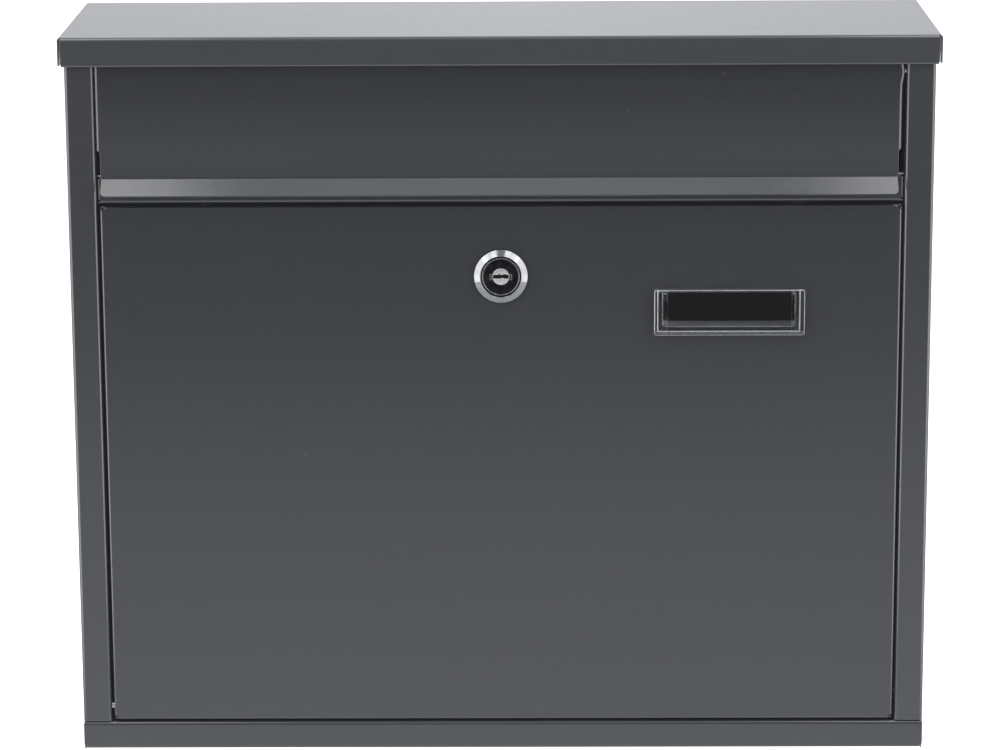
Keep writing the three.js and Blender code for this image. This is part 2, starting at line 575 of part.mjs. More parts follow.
// ---------------------------------------------------------------- nameplate window
// A clear moulding: a plate in front of the door, a U-shaped rib behind it that leaves a card slot open at
// the top, and a snap leg at each end that passes through the door's cut-out and hooks behind it.
function makeNameplate() {
  const [left, right] = [PLATE.x - PLATE.width / 2, PLATE.x + PLATE.width / 2];
  const [low, high] = [PLATE.z - PLATE.height / 2, PLATE.z + PLATE.height / 2];
  const face = FRONT - PLATE.proud;
  const seat = FRONT - GAP;
  const plate = alongY(roundedRect(left, right, low, high, PLATE.corner), face, face + PLATE.thick);
  const { inset, below, thick } = PLATE_RIB;
  const ribTop = high - 0.6;
  const rib = cut(
    box(left + inset, right - inset, face + 0.5, seat, low + below, ribTop),
    box(left + inset + thick, right - inset - thick, face - 1, FRONT, low + below + thick, high),
  );
  const legBack = DOOR_BACK + SNAP_LEG.reach;
  const legHalf = PLATE_CUTOUT.height / 2 - 2 * GAP;
  const [legLow, legHigh] = [PLATE_CUTOUT.z - legHalf, PLATE_CUTOUT.z + legHalf];
  const legs = bothSides((side) => {
    const outer = side * (PLATE_CUTOUT.width / 2 - GAP);
    const span = (a, b) => [PLATE.x + outer + side * a, PLATE.x + outer + side * b].sort((p, q) => p - q);
    const [x0, x1] = span(-SNAP_LEG.thick, 0);
    const [h0, h1] = span(-SNAP_LEG.thick / 4, SNAP_LEG.hook);
    const leg = box(x0, x1, face + 0.5, legBack, legLow, legHigh);
    const [hookLow, hookHigh] = [legLow + SNAP_LEG.hookInset, legHigh - SNAP_LEG.hookInset];
    return join(leg, box(h0, h1, DOOR_BACK + GAP, legBack, hookLow, hookHigh));
  });
  return join(plate, rib, ...legs);
}

addPiece('nameplate_window', makeNameplate(), clearPlastic);

export default mailbox;
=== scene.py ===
"""Looks of a wall mounted mailbox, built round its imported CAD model.

Shapes are in millimetres. Materials, studio and camera are in metres, as the finished meshes are.
"""
import math

import bmesh
import bpy
import numpy as np
from mathutils import Matrix, Vector
from mathutils.geometry import delaunay_2d_cdt


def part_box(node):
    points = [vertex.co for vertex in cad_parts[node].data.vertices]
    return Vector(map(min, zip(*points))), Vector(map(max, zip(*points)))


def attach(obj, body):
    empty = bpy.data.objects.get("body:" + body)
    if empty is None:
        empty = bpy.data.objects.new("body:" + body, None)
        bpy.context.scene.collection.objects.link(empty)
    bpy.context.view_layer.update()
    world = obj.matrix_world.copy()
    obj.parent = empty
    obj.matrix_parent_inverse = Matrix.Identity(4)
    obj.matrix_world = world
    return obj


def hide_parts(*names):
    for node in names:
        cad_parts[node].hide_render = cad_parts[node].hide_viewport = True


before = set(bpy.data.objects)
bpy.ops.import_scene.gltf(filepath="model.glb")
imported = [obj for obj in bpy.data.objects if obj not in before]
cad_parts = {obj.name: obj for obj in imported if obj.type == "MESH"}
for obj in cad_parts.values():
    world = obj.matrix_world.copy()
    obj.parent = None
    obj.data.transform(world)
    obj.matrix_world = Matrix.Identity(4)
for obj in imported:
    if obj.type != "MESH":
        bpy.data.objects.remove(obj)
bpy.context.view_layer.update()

MM = 0.001
SHEET = 0.8  # steel sheet
EDGE = 0.2  # rounding that the powder leaves on a cut edge
HALF = SHEET / 2
GAP = 0.3  # between pieces that touch on the real object
FAR = 400  # past the rim of every blank


def limits(node):
    """A CAD node's lowest and highest corner in millimetres."""
    low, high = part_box(node)
    return low / MM, high / MM


# ---- flat outlines
def arc(centre, radius, start, end, count):
    """Points on an arc between two angles in degrees. radius is a number or (across, up)."""
    across, up = radius if isinstance(radius, tuple) else (radius, radius)
    turns = [math.radians(start + (end - start) * k / count) for k in range(count + 1)]
    return [(centre[0] + across * math.cos(t), centre[1] + up * math.sin(t)) for t in turns]


def round_hole(centre, radius, count=40):
    return arc(centre, radius, 360, 360 / count, count - 1)


def soften(points, radius, count=4, closed=True):
    """An outline with its corners rounded, as far as their sides have room."""
    out = []
    for i, here in enumerate(points):
        if not closed and i in (0, len(points) - 1):
            out.append(here)
            continue
        a, p, b = (Vector(q) for q in (points[i - 1], here, points[(i + 1) % len(points)]))
        into, away = (p - a), (b - p)
        if into.length < 1e-6 or away.length < 1e-6:
            continue
        turn = into.angle(away)
        if turn < math.radians(25):
            out.append(tuple(p))
            continue
        reach = min(radius * math.tan(turn / 2), 0.45 * into.length, 0.45 * away.length)
        first, last = p - into.normalized() * reach, p + away.normalized() * reach
        for k in range(count + 1):
            t = k / count
            out.append(tuple(first * (1 - t) ** 2 + p * 2 * t * (1 - t) + last * t**2))
    return out


def mirrored(right, radius=0.5):
    """The right half of an outline with its mirror image, and its corners rounded."""
    return soften(right + [(-x, y) for x, y in reversed(right)], radius, 3)


def rectangle(u0, u1, v0, v1):
    return [(u0, v0), (u1, v0), (u1, v1), (u0, v1)]


def between(a, b, share):
    return a[0] + (b[0] - a[0]) * share, a[1] + (b[1] - a[1]) * share


def inset(loop, amount):
    """The loop moved to its left, which is where the material is."""
    pts = np.array(loop)
    along = np.roll(pts, -1, 0) - pts
    length = np.linalg.norm(along, axis=1)
    along /= length[:, None]
    before = np.roll(along, 1, 0)
    turn = np.arctan2(before[:, 0] * along[:, 1] - before[:, 1] * along[:, 0], (before * along).sum(1))
    tight = np.minimum(length, np.roll(length, 1)) / (2 * np.tan(np.clip(turn, 1e-6, 3.0) / 2))
    moved = np.minimum(amount, 0.7 * tight)
    moved = np.minimum(moved, np.minimum(np.roll(moved, 1), np.roll(moved, -1)))
    left = np.stack([-along[:, 1], along[:, 0]], 1)
    both = left + np.roll(left, 1, 0)
    scale = (both * left).sum(1)
    return [tuple(p) for p in pts + moved[:, None] * both / np.maximum(scale, 0.5)[:, None]]


def split_at_guides(outer, inner, guides):
    """Both loops with a point added wherever the inner one crosses a guide line."""
    new_outer, new_inner = [], []
    g = np.array(guides, float).reshape(-1, 2, 2)
    way = g[:, 1] - g[:, 0]
    inner, outer = np.array(inner), np.array(outer)
    for p, q, a, b in zip(inner, np.roll(inner, -1, 0), outer, np.roll(outer, -1, 0)):
        step = q - p
        cross = step[0] * way[:, 1] - step[1] * way[:, 0]
        ok = np.abs(cross) > 1e-9  # not parallel
        rel = (g[:, 0] - p)[ok]
        t = (rel[:, 0] * way[ok, 1] - rel[:, 1] * way[ok, 0]) / cross[ok]
        s = (rel[:, 0] * step[1] - rel[:, 1] * step[0]) / cross[ok]
        near = 3e-4 / max(np.hypot(*step), 1e-9)
        hits = sorted(t[(t > near) & (t < 1 - near) & (s > -1e-4) & (s < 1 + 1e-4)])
        cuts = [0.0]
        for h in hits:
            if h - cuts[-1] > near:
                cuts.append(h)
        new_inner += [tuple(p + step * c) for c in cuts]
        new_outer += [tuple(a + (b - a) * c) for c in cuts]
    return new_outer, new_inner


def inside(points, loops):
    """Which points lie in the material between the loops."""
    x, y = points[:, 0], points[:, 1]
    odd = np.zeros(len(points), bool)
    for loop in loops:
        a = np.array(loop)
        for (x0, y0), (x1, y1) in zip(a, np.roll(a, -1, 0)):
            if y0 == y1:
                continue
            crossed = (y0 > y) != (y1 > y)
            odd ^= crossed & (x < (x1 - x0) * (y - y0) / (y1 - y0) + x0)
    return odd


def fill(loops, guides):
    """Triangles between the loops with edges along the guides: points, triangles, and each loop's points."""
    points, edges = [], []
    for loop in loops:
        first, n = len(points), len(loop)
        points += loop
        edges += [(first + i, first + (i + 1) % n) for i in range(n)]
    for p, q in guides:
        edges.append((len(points), len(points) + 1))
        points += [p, q]
    verts, _, faces, origins, _, _ = delaunay_2d_cdt([Vector(p) for p in points], edges, [], 0, 1e-4, True)
    where = {o: i for i, group in enumerate(origins) for o in group}
    co = np.array([tuple(v) for v in verts])
    tri = np.array(faces)
    tri = tri[inside(co[tri].mean(1), loops)]
    used = np.unique(tri)
    new = np.full(len(co), -1)
    new[used] = np.arange(len(used))
    rings, at = [], 0
    for loop in loops:
        rings.append([int(new[where[at + i]]) for i in range(len(loop))])
        at += len(loop)
    return co[used], new[tri], rings


# ---- folded sheet
class Chain:
    """A sheet's middle line seen edge on: a number goes straight on, (degrees, radius) bends. Left is out."""

    def __init__(self, steps, start=(0, 0), heading=0):
        self.parts, self.marks = [], [0.0]
        s, (a, b), phi = 0.0, start, math.radians(heading)
        for step in steps:
            turn, length = 0.0, step
            if isinstance(step, tuple):
                turn = math.radians(step[0])
                length = abs(turn) * step[1]
                count = max(4, math.ceil(abs(step[0]) / 10))
                self.marks += [s + length * k / count for k in range(count + 1)]
            self.parts.append((s, length, a, b, phi, turn))
            a, b, phi = self.go(self.parts[-1], length)
            s += length
        self.length = s
        self.marks = sorted({round(m, 6) for m in self.marks if m < s - 1e-6})

    @staticmethod
    def go(part, d):
        _, length, a, b, phi, turn = part
        if turn == 0:
            return a + d * math.cos(phi), b + d * math.sin(phi), phi
        k = turn / length
        end = phi + k * d
        return a + (math.sin(end) - math.sin(phi)) / k, b - (math.cos(end) - math.cos(phi)) / k, end

    def at(self, s):
        part = next((p for p in reversed(self.parts) if s >= p[0]), self.parts[0])
        return self.go(part, s - part[0])


class Blank:
    """A flat panel with folded sides, each a chain, or (chain, from, to) where only that stretch folds."""

    def __init__(self, origin, u_dir, v_dir, base, **sides):
        self.origin, self.u, self.v = Vector(origin), Vector(u_dir), Vector(v_dir)
        self.w = self.u.cross(self.v)
        self.base = base
        self.sides = {name: s if isinstance(s, tuple) else (s, -FAR, FAR) for name, s in sides.items()}

    def place(self, u, v):
        """The middle surface's point and outward normal."""
        u0, u1, v0, v1 = self.base
        beyond = {"left": u0 - u, "right": u - u1, "low": v0 - v, "high": v - v1}
        best = None
        for name, (_, low, high) in self.sides.items():
            along = v if name in ("left", "right") else u
            if beyond[name] > 0 and low <= along <= high and (best is None or beyond[name] > beyond[best]):
                best = name
        if best is None:
            return self.origin + self.u * u + self.v * v, self.w.copy()
        a, b, phi = self.sides[best][0].at(beyond[best])
        sign = 1 if best in ("right", "high") else -1
        if best in ("left", "right"):
            out, point = self.u * sign, self.u * ((u1 if sign > 0 else u0) + sign * a) + self.v * v
        else:
            out, point = self.v * sign, self.v * ((v1 if sign > 0 else v0) + sign * a) + self.u * u
        return self.origin + point + self.w * b, self.w * math.cos(phi) - out * math.sin(phi)

    def guides(self, grid):
        """Lines that the mesh has edges along: every fold, and a coarse grid on the base."""
        u0, u1, v0, v1 = self.base
        lines = []
        for name, (chain, low, high) in self.sides.items():
            for m in chain.marks:
                c = {"left": u0 - m, "right": u1 + m, "low": v0 - m, "high": v1 + m}[name]
                lines.append(((c, low), (c, high)) if name in ("left", "right") else ((low, c), (high, c)))
        past = 60  # the grid reaches over the folds
        nu, nv = max(2, round((u1 - u0) / grid)), max(2, round((v1 - v0) / grid))
        for u in (u0 + (u1 - u0) * k / nu for k in range(1, nu)):
            lines.append(((u, v0 - past), (u, v1 + past)))
        for v in (v0 + (v1 - v0) * k / nv for k in range(1, nv)):
            lines.append(((u0 - past, v), (u1 + past, v)))
        return lines


def fold_sheet(name, place, loops, guides, nudge=None):
    """A sheet of steel cut to the loops (outline counter-clockwise, holes clockwise) and folded by place."""
    rims = [split_at_guides(loop, inset(loop, EDGE), guides) for loop in loops]
    flat, tris, rings = fill([inner for _, inner in rims], guides)
    points, normals, faces = [], [], []

    def add(uv, w, lean=0.0, edge_dir=None):
        p, n = place(*uv)
        if nudge:
            p = p + nudge(*uv)
        points.append((p + n * w) * MM)
        facing_out = n if w >= 0 else -n
        normals.append(facing_out * math.cos(lean) + edge_dir * math.sin(lean) if edge_dir else facing_out)
        return len(points) - 1

    for side in (HALF, -HALF):
        first = len(points)
        for uv in flat:
            add(uv, side)
        faces += [tuple(first + i for i in (t if side > 0 else t[::-1])) for t in tris]
    count = len(flat)
    leans = [math.radians(a) for a in (30, 60, 90)]
    for (outer, inner), ring in zip(rims, rings):
        rows = [ring]
        ways = [(place(*o)[0] - place(*i)[0]).normalized() for o, i in zip(outer, inner)]
        for side in (1, -1):
            for lean in leans[::side]:
                w = side * (HALF - EDGE * (1 - math.cos(lean)))
                share = math.sin(lean)
                rows.append([add(between(i, o, share), w, lean, n) for o, i, n in zip(outer, inner, ways)])
        rows.append([count + i for i in ring])
        n = len(ring)
        for a, b in zip(rows, rows[1:]):
            faces += [(a[i], b[i], b[(i + 1) % n], a[(i + 1) % n]) for i in range(n)]
    mesh = bpy.data.meshes.new(name)
    mesh.from_pydata(points, [], faces)
    bm = bmesh.new()
    bm.from_mesh(mesh)
    bmesh.ops.join_triangles(
        bm, faces=[f for f in bm.faces if len(f.verts) == 3],
        angle_face_threshold=math.radians(1), angle_shape_threshold=math.radians(60),
    )
    bm.to_mesh(mesh)
    bm.free()
    mesh.shade_smooth()
    mesh.normals_split_custom_set_from_vertices([n.normalized() for n in normals])
    return link(name, mesh)


def link(name, mesh):
    obj = bpy.data.objects.new(name, mesh)
    bpy.context.scene.collection.objects.link(obj)
    return obj


# ---- turned and moulded pieces
def finished(name, bm, matrix, sharp=35):
    """An object from a bmesh in millimetres, its flat faces kept flat and its edges shaded round."""
    bmesh.ops.remove_doubles(bm, verts=bm.verts, dist=1e-5)
    bmesh.ops.recalc_face_normals(bm, faces=bm.faces)
    mesh = bpy.data.meshes.new(name)
    bm.to_mesh(mesh)
    bm.free()
    mesh.transform(Matrix.Scale(MM, 4) @ matrix)
    mesh.shade_smooth()
    mesh.set_sharp_from_angle(angle=math.radians(sharp))
    obj = link(name, mesh)
    weigh = obj.modifiers.new("flat_faces", "WEIGHTED_NORMAL")
    weigh.keep_sharp = True
    return obj


def aim(point, direction):
    """Places a piece built along +Z so that +Z points along direction, from point."""
    return Matrix.Translation(Vector(point)) @ Vector(direction).to_track_quat("Z", "Y").to_matrix().to_4x4()


def add_turned(bm, profile, segments):
    """Turns a closed profile of (radius, height) about Z. A point on the axis becomes a pole."""
    rings = []
    for r, h in profile:
        if r < 1e-6:
            rings.append([bm.verts.new((0, 0, h))])
            continue
        turns = [2 * math.pi * k / segments for k in range(segments)]
        rings.append([bm.verts.new((r * math.cos(t), r * math.sin(t), h)) for t in turns])
    for a, b in zip(rings, rings[1:] + rings[:1]):
        if len(a) == 1 and len(b) == 1:
            continue
        for k in range(segments):
            quad = [a[k % len(a)], a[(k + 1) % len(a)], b[(k + 1) % len(b)], b[k % len(b)]]
            bm.faces.new(list(dict.fromkeys(quad)))


def turned(name, profile, matrix, segments):
    bm = bmesh.new()
    add_turned(bm, profile, segments)
    return finished(name, bm, matrix)


def skin(bm, rows):
    """Faces between each row of points and the next, where every row is a ring."""
    for a, b in zip(rows, rows[1:]):
        for i in range(len(a)):
            j = (i + 1) % len(a)
            bm.faces.new((a[i], b[i], b[j], a[j]))


def cap(bm, loops, height, up=True):
    """A flat face between the loops. Returns its points along each loop."""
    flat, tris, rings = fill(loops, [])
    points = [bm.verts.new((u, v, height)) for u, v in flat]
    for t in tris:
        bm.faces.new([points[i] for i in (t if up else t[::-1])])
    return [[points[i] for i in ring] for ring in rings]


def rounding(bm, outer, inner, height, edge, steps):
    """Rows of points round a rim, from a face's edge at height down by edge, or up where edge is negative."""
    rows = []
    for lean in (math.radians(90 * k / steps) for k in range(1, steps + 1)):
        h = height - edge * (1 - math.cos(lean))
        rows.append([bm.verts.new((*between(i, o, math.sin(lean)), h)) for o, i in zip(outer, inner)])
    return rows


def add_block(bm, outline, low, high, edge, holes=(), steps=3):
    """A prism along Z with rounded rims, from a counter-clockwise outline and clockwise holes."""
    loops = [outline, *holes]
    insets = [inset(loop, edge) for loop in loops]
    tops, bottoms = cap(bm, insets, high), cap(bm, insets, low, False)
    for loop, inner, top, bottom in zip(loops, insets, tops, bottoms):
        upper = rounding(bm, loop, inner, high, edge, steps)
        lower = rounding(bm, loop, inner, low, -edge, steps)
        skin(bm, [top, *upper, *lower[::-1], bottom])


def block(name, outline, low, high, matrix, edge, holes=()):
    bm = bmesh.new()
    add_block(bm, outline, low, high, edge, holes)
    return finished(name, bm, matrix)


def add_hexagon(bm, across_flats, height, bore=0.0, base=0.0):
    """A chamfered hexagon along Z from base up, with a threaded bore or none."""
    segments, apothem = 72, across_flats / 2
    rim = apothem * 1.02
    turns = [2 * math.pi * k / segments for k in range(segments)]
    full = [apothem / math.cos((t + math.pi / 6) % (math.pi / 3) - math.pi / 6) for t in turns]
    cut = [min(r, rim) for r in full]
    drop = [max(0.0, r - rim) * math.tan(math.radians(30)) + 0.06 for r in full]
    top, low = height + base, base
    rows = [
        [(r * 0.9, top) for r in cut], [(r - 0.05, top - 0.01) for r in cut],
        [(r, top - d) for r, d in zip(full, drop)], [(r, low + d) for r, d in zip(full, drop)],
        [(r - 0.05, low + 0.01) for r in cut], [(r * 0.9, low) for r in cut],
    ]
    if bore:
        rows += [[p] * segments for p in thread(bore + 0.3, low, top)]
    rings = []
    for row in rows:
        rings.append([bm.verts.new((r * math.cos(t), r * math.sin(t), h)) for (r, h), t in zip(row, turns)])
    skin(bm, rings + rings[:1] if bore else rings)
    if not bore:
        bm.faces.new(rings[0])
        bm.faces.new(rings[-1])


def thread(radius, start, end, pitch=0.7, depth=0.28):
    """The zigzag of a thread between two heights, as profile points."""
    count = max(2, int(abs(end - start) / pitch) * 2)
    return [(radius - (depth if k % 2 else 0.0), start + (end - start) * k / count) for k in range(count + 1)]


# ---- places taken from the CAD model
case_low, case_high = limits("case_shell")
hood_low, hood_high = limits("hood")
door_low, door_high = limits("door_panel")
flap_low, flap_high = limits("flap_panel")
rail_low, rail_high = limits("cross_rail")
lock_low, lock_high = limits("lock_body")
plate_low, plate_high = limits("nameplate_window")

FRONT = case_low.y  # the posts' outer face
FLOOR = case_low.z  # underside of the case
X, Z = (1, 0, 0), (0, 0, 1)

SLOPE = math.atan2(7.04, 90)  # the hood's top climbs towards the wall
COS, SIN, TAN = math.cos(SLOPE), math.sin(SLOPE), math.tan(SLOPE)
HOOD_LIFT = round(hood_high.z, 2) - SHEET / COS / 2  # its middle surface at the wall


def under_hood(y):
    """Height of the case's top edge at a depth."""
    return HOOD_LIFT + TAN * y - HALF / COS - GAP


BEND = 1.2  # middle-line radius of the case's folds
FINE = 0.7  # of the door's and hood's side folds
FINE_OUT = FINE + HALF
QUARTER = math.pi / 2

OPENING = rail_high.x + GAP  # half the width between the posts
WALL_X = case_high.x - HALF
PAN_TOP = FLOOR + 12
POST_FOOT = PAN_TOP + 0.12


def axis_of(node):
    """Depth and height of the middle of a pin that lies across."""
    low, high = limits(node)
    return (low.y + high.y) / 2, (low.z + high.z) / 2


DOOR_AXIS, FLAP_AXIS, RIVET = axis_of("door_pin_left"), axis_of("flap_pin_left"), axis_of("rail_rivet_left")
LOCK_X, LOCK_Z = (lock_low.x + lock_high.x) / 2, (lock_low.z + lock_high.z) / 2
PLATE_X, PLATE_Z = (plate_low.x + plate_high.x) / 2, (plate_low.z + plate_high.z) / 2
PLATE_HALF_X, PLATE_HALF_Z = (plate_high.x - plate_low.x) / 2, (plate_high.z - plate_low.z) / 2
PLATE_THICK = 1.6
WINDOW_DROP = 7.4  # the door's cut-out behind the nameplate, from the nameplate's top to its middle
STUD_X, STUD_DEPTHS = 170.4, (-62, -16)
STUDS = [(side * STUD_X, y) for side in (-1, 1) for y in STUD_DEPTHS]


def pin_hole(u, v):
    return round_hole((u, v), 1.6, 24)


# ---- case
def make_case():
    """Back, sides, posts and post lips from one blank, and a top flange on each side."""
    lip_depth = 12
    lip_b, front_b, wall_b = -FRONT - lip_depth, -FRONT - HALF, HALF  # distances from the wall
    lip_x = OPENING + HALF
    lip = front_b - lip_b - BEND
    post = WALL_X - lip_x - 2 * BEND
    side = front_b - wall_b - 2 * BEND
    back = 2 * WALL_X - 2 * BEND
    turn = (-90, BEND)
    chain = Chain([lip, turn, post, turn, side, turn, back, turn, side, turn, post, turn, lip],
                  start=(lip_x, lip_b), heading=90)
    total = chain.length
    panel = Blank((0, 0, 0), X, Z, (-9, -1e-9, -9, 9), right=chain)
    side_from = chain.parts[4][0]
    side_to = side_from + side

    def depth_at(s):
        return -chain.at(s)[1]

    flange_bend = 0.8
    flange = Chain([(-90, flange_bend), 12.5])
    fold_z = under_hood(depth_at(side_from)) - 1.2 / COS
    start, end = front_b - BEND - 72, side - 6  # of the flange, along the side

    def on_flange(s, z):
        """Position along and across a side's top flange, or None off it."""
        from_front = min(s, total - s) - side_from
        if not 0 < from_front < side:
            return None
        up = z - fold_z
        along, across = from_front * COS + up * SIN, -from_front * SIN + up * COS
        if across <= 0 or not start - 0.2 <= along <= end + 0.4:
            return None
        return along, across

    def place(s, z):
        found = on_flange(s, z)
        if not found:
            return panel.place(s, z)
        along, across = found
        a, b, phi = flange.at(across)
        out = Vector((1 if s < total / 2 else -1, 0, 0))
        way, up = Vector((0, COS, SIN)), Vector((0, -SIN, COS))
        corner = Vector((out.x * WALL_X, depth_at(side_from), fold_z))
        return corner + way * along + up * a + out * b, out * math.cos(phi) - up * math.sin(phi)

    def to_blank(along, across):
        return side_from + along * COS - across * SIN, fold_z + along * SIN + across * COS

    # the outline, from the right lip's foot round to the left one and back along the top
    foot = chain.parts[3][0] + BEND * math.asin(0.7 / BEND)
    outline = [(0, POST_FOOT), (foot, POST_FOOT), (foot, FLOOR), (total - foot, FLOOR),
               (total - foot, POST_FOOT), (total, POST_FOOT)]
    slot, low, high, tip = 0.9, -0.6, 1.3, flange.length  # relief at each end of a flange
    corners = [(start - slot, high), (start - slot, low), (start, low), (start, tip),
               (end, tip), (end, low), (end + slot, low), (end + slot, high)]
    flange_points = [to_blank(*corner) for corner in corners]
    upper = [(0.0, under_hood(depth_at(0)))]
    for m in [*chain.marks[1:], total]:
        if side_from < m < side_to or total - side_to < m < total - side_from:
            continue
        upper.append((m, under_hood(depth_at(m))))
        if abs(m - side_from) < 1e-4:
            upper += flange_points
        if abs(m - (total - side_to)) < 1e-4:
            upper += [(total - s, z) for s, z in reversed(flange_points)]
    outline = soften(outline + upper[::-1], 0.5, 3)

    back_from = chain.parts[6][0]
    hole_x, hole_z, hole_radius, stud_radius = 130, 90, 3.25, 2.3
    holes = [round_hole((back_from + WALL_X - BEND - x, z), hole_radius)
             for x in (-hole_x, hole_x) for z in (-hole_z, hole_z)]
    for y, z in (DOOR_AXIS, FLAP_AXIS, RIVET):
        holes += [pin_hole(s, z) for s in (-y - lip_b, total - (-y - lip_b))]
    for y in STUD_DEPTHS:
        along = (y - depth_at(side_from)) / COS
        s, z = to_blank(along, QUARTER * flange_bend + WALL_X - flange_bend - STUD_X)
        holes += [round_hole((at, z), stud_radius, 24) for at in (s, total - s)]

    below, above = FLOOR - 5, 200
    guides = [((m, below), (m, above)) for m in chain.marks[1:]]
    for m in flange.marks:
        p, q = to_blank(start - 0.2, m), to_blank(end + 0.2, m)
        guides += [(p, q), ((total - p[0], p[1]), (total - q[0], q[1]))]
    columns, rows = 26, 22
    for s in (back_from + back * k / columns for k in range(1, columns)):
        guides.append(((s, below), (s, above)))
    for z in (FLOOR + 300 * k / rows for k in range(1, rows)):
        guides.append(((-5, z), (total + 5, z)))
    return fold_sheet("case_folded", place, [outline, *holes], guides)


# ---- bottom pan
def make_pan():
    """The case's floor, with a rail in front that turns back at its top, an upstand and two flanges."""
    inside_x = case_high.x - SHEET - GAP
    rear = -SHEET - GAP - HALF
    base = (-inside_x + FINE_OUT, inside_x - FINE_OUT, -rear + BEND, -FRONT - HALF - BEND)
    bend = (-90, BEND)
    front = Chain([bend, PAN_TOP - FLOOR - 2 * (BEND + HALF), bend, 8 - BEND - HALF])
    upstand = Chain([bend, 8.0])
    flange = Chain([(-90, FINE), 8.0])
    flange_from, flange_to, slot = 8.0, 72.0, 0.8
    fold = (flange, flange_from - GAP, flange_to + GAP)
    panel = Blank((0, 0, FLOOR + HALF), X, (0, -1, 0), base, high=front, low=upstand, right=fold, left=fold)
    u1, v0, v1 = base[1:]
    full = case_high.x
    root, side = u1 - 0.4, u1 + flange.length
    widen = v1 + BEND * math.asin(0.5 / BEND)
    right = [(inside_x - 1, v0 - upstand.length), (inside_x - 1, flange_from - slot),
             (root, flange_from - slot), (root, flange_from), (side, flange_from), (side, flange_to),
             (root, flange_to), (root, flange_to + slot), (inside_x, flange_to + slot), (inside_x, widen)]
    right += arc((full - 2, v1 + QUARTER * BEND * 0.55 + 1.3), (2, 1.3), -90, 0, 6)
    end = v1 + front.length
    right += [(full, end - 7.5), (full - 1.3, end - 7.0), (full - 3, end - 6.75), (full - 3, end)]
    return fold_sheet("pan_folded", panel.place, [mirrored(right)], panel.guides(20))


# ---- cross rail
def make_rail():
    """The rail over the door: a face with flanges turned back above and below, and a tab at each end."""
    face = rail_low.y + HALF
    tab_bend, slot = 0.5, 0.7
    lower, upper = (Chain([(-90, BEND), reach]) for reach in (14.4, 10.4))
    tab = Chain([(-90, tab_bend), 9.9])
    edge = rail_high.x
    u1 = edge - tab_bend - HALF
    v0, v1 = rail_low.z + BEND + HALF, rail_high.z - BEND - HALF
    low, high = v0 + GAP, v1 - GAP
    fold = (tab, low - GAP, high + GAP)
    panel = Blank((0, face, 0), X, Z, (-u1, u1, v0, v1), right=fold, left=fold, low=lower, high=upper)
    root, tip = u1 - 0.3, u1 + tab.length
    right = [(edge, v0 - lower.length), (edge, low - slot), (root, low - slot), (root, low), (tip, low),
             (tip, high), (root, high), (root, high + slot), (edge, high + slot), (edge, v1 + upper.length)]
    reach = u1 + QUARTER * tab_bend + RIVET[0] - rail_low.y - tab_bend - HALF
    holes = [pin_hole(s * reach, RIVET[1]) for s in (-1, 1)]
    return fold_sheet("rail_folded", panel.place, [mirrored(right), *holes], panel.guides(14))


# ---- hood
def make_hood():
    """The sloping top with a hemmed fascia in front and a flange down each side."""
    fascia_foot, hem_reach, flange_drop = 139.4, 3.8, 10.3
    u1 = hood_high.x - FINE_OUT
    turn = 90 - math.degrees(SLOPE)
    tangent = BEND * math.tan(math.radians(turn / 2))
    corner_z = HOOD_LIFT + TAN * (hood_low.y + HALF)
    drop = corner_z - (fascia_foot + SHEET) - tangent
    fascia = Chain([(-turn, BEND), drop, (-180, HALF), hem_reach])
    flange = Chain([(-90, FINE), flange_drop])
    v0 = (hood_low.y + HALF) / COS + tangent
    panel = Blank((0, 0, HOOD_LIFT), X, (0, COS, SIN), (-u1, u1, v0, -0.05), right=flange, left=flange,
                  low=(fascia, -u1 - 0.05, u1 + 0.05))

    def front_edge(depth):
        return (hood_low.y + 0.02 - depth * SIN) / COS

    def rear_edge(depth):
        return -depth * TAN - 0.05

    end, side, fold = u1 - 0.1, u1 + flange.length, u1 + QUARTER * FINE
    hem = v0 - QUARTER * BEND * turn / 90 - drop
    down = FINE + flange_drop
    right = [(end - 0.5, v0 - fascia.length), (end - 0.5, hem - math.pi * HALF), (end - 0.15, hem - 0.2),
             (end, hem + 0.5), (end, v0 + 0.2), (u1 + 0.2, v0 + 0.2), (u1 + 0.2, front_edge(0)),
             (fold, front_edge(FINE)), (side, front_edge(down)), (side, rear_edge(down)),
             (fold, rear_edge(FINE)), (u1, rear_edge(0))]
    return fold_sheet("hood_folded", panel.place, [mirrored(right, 0.4)], panel.guides(15))


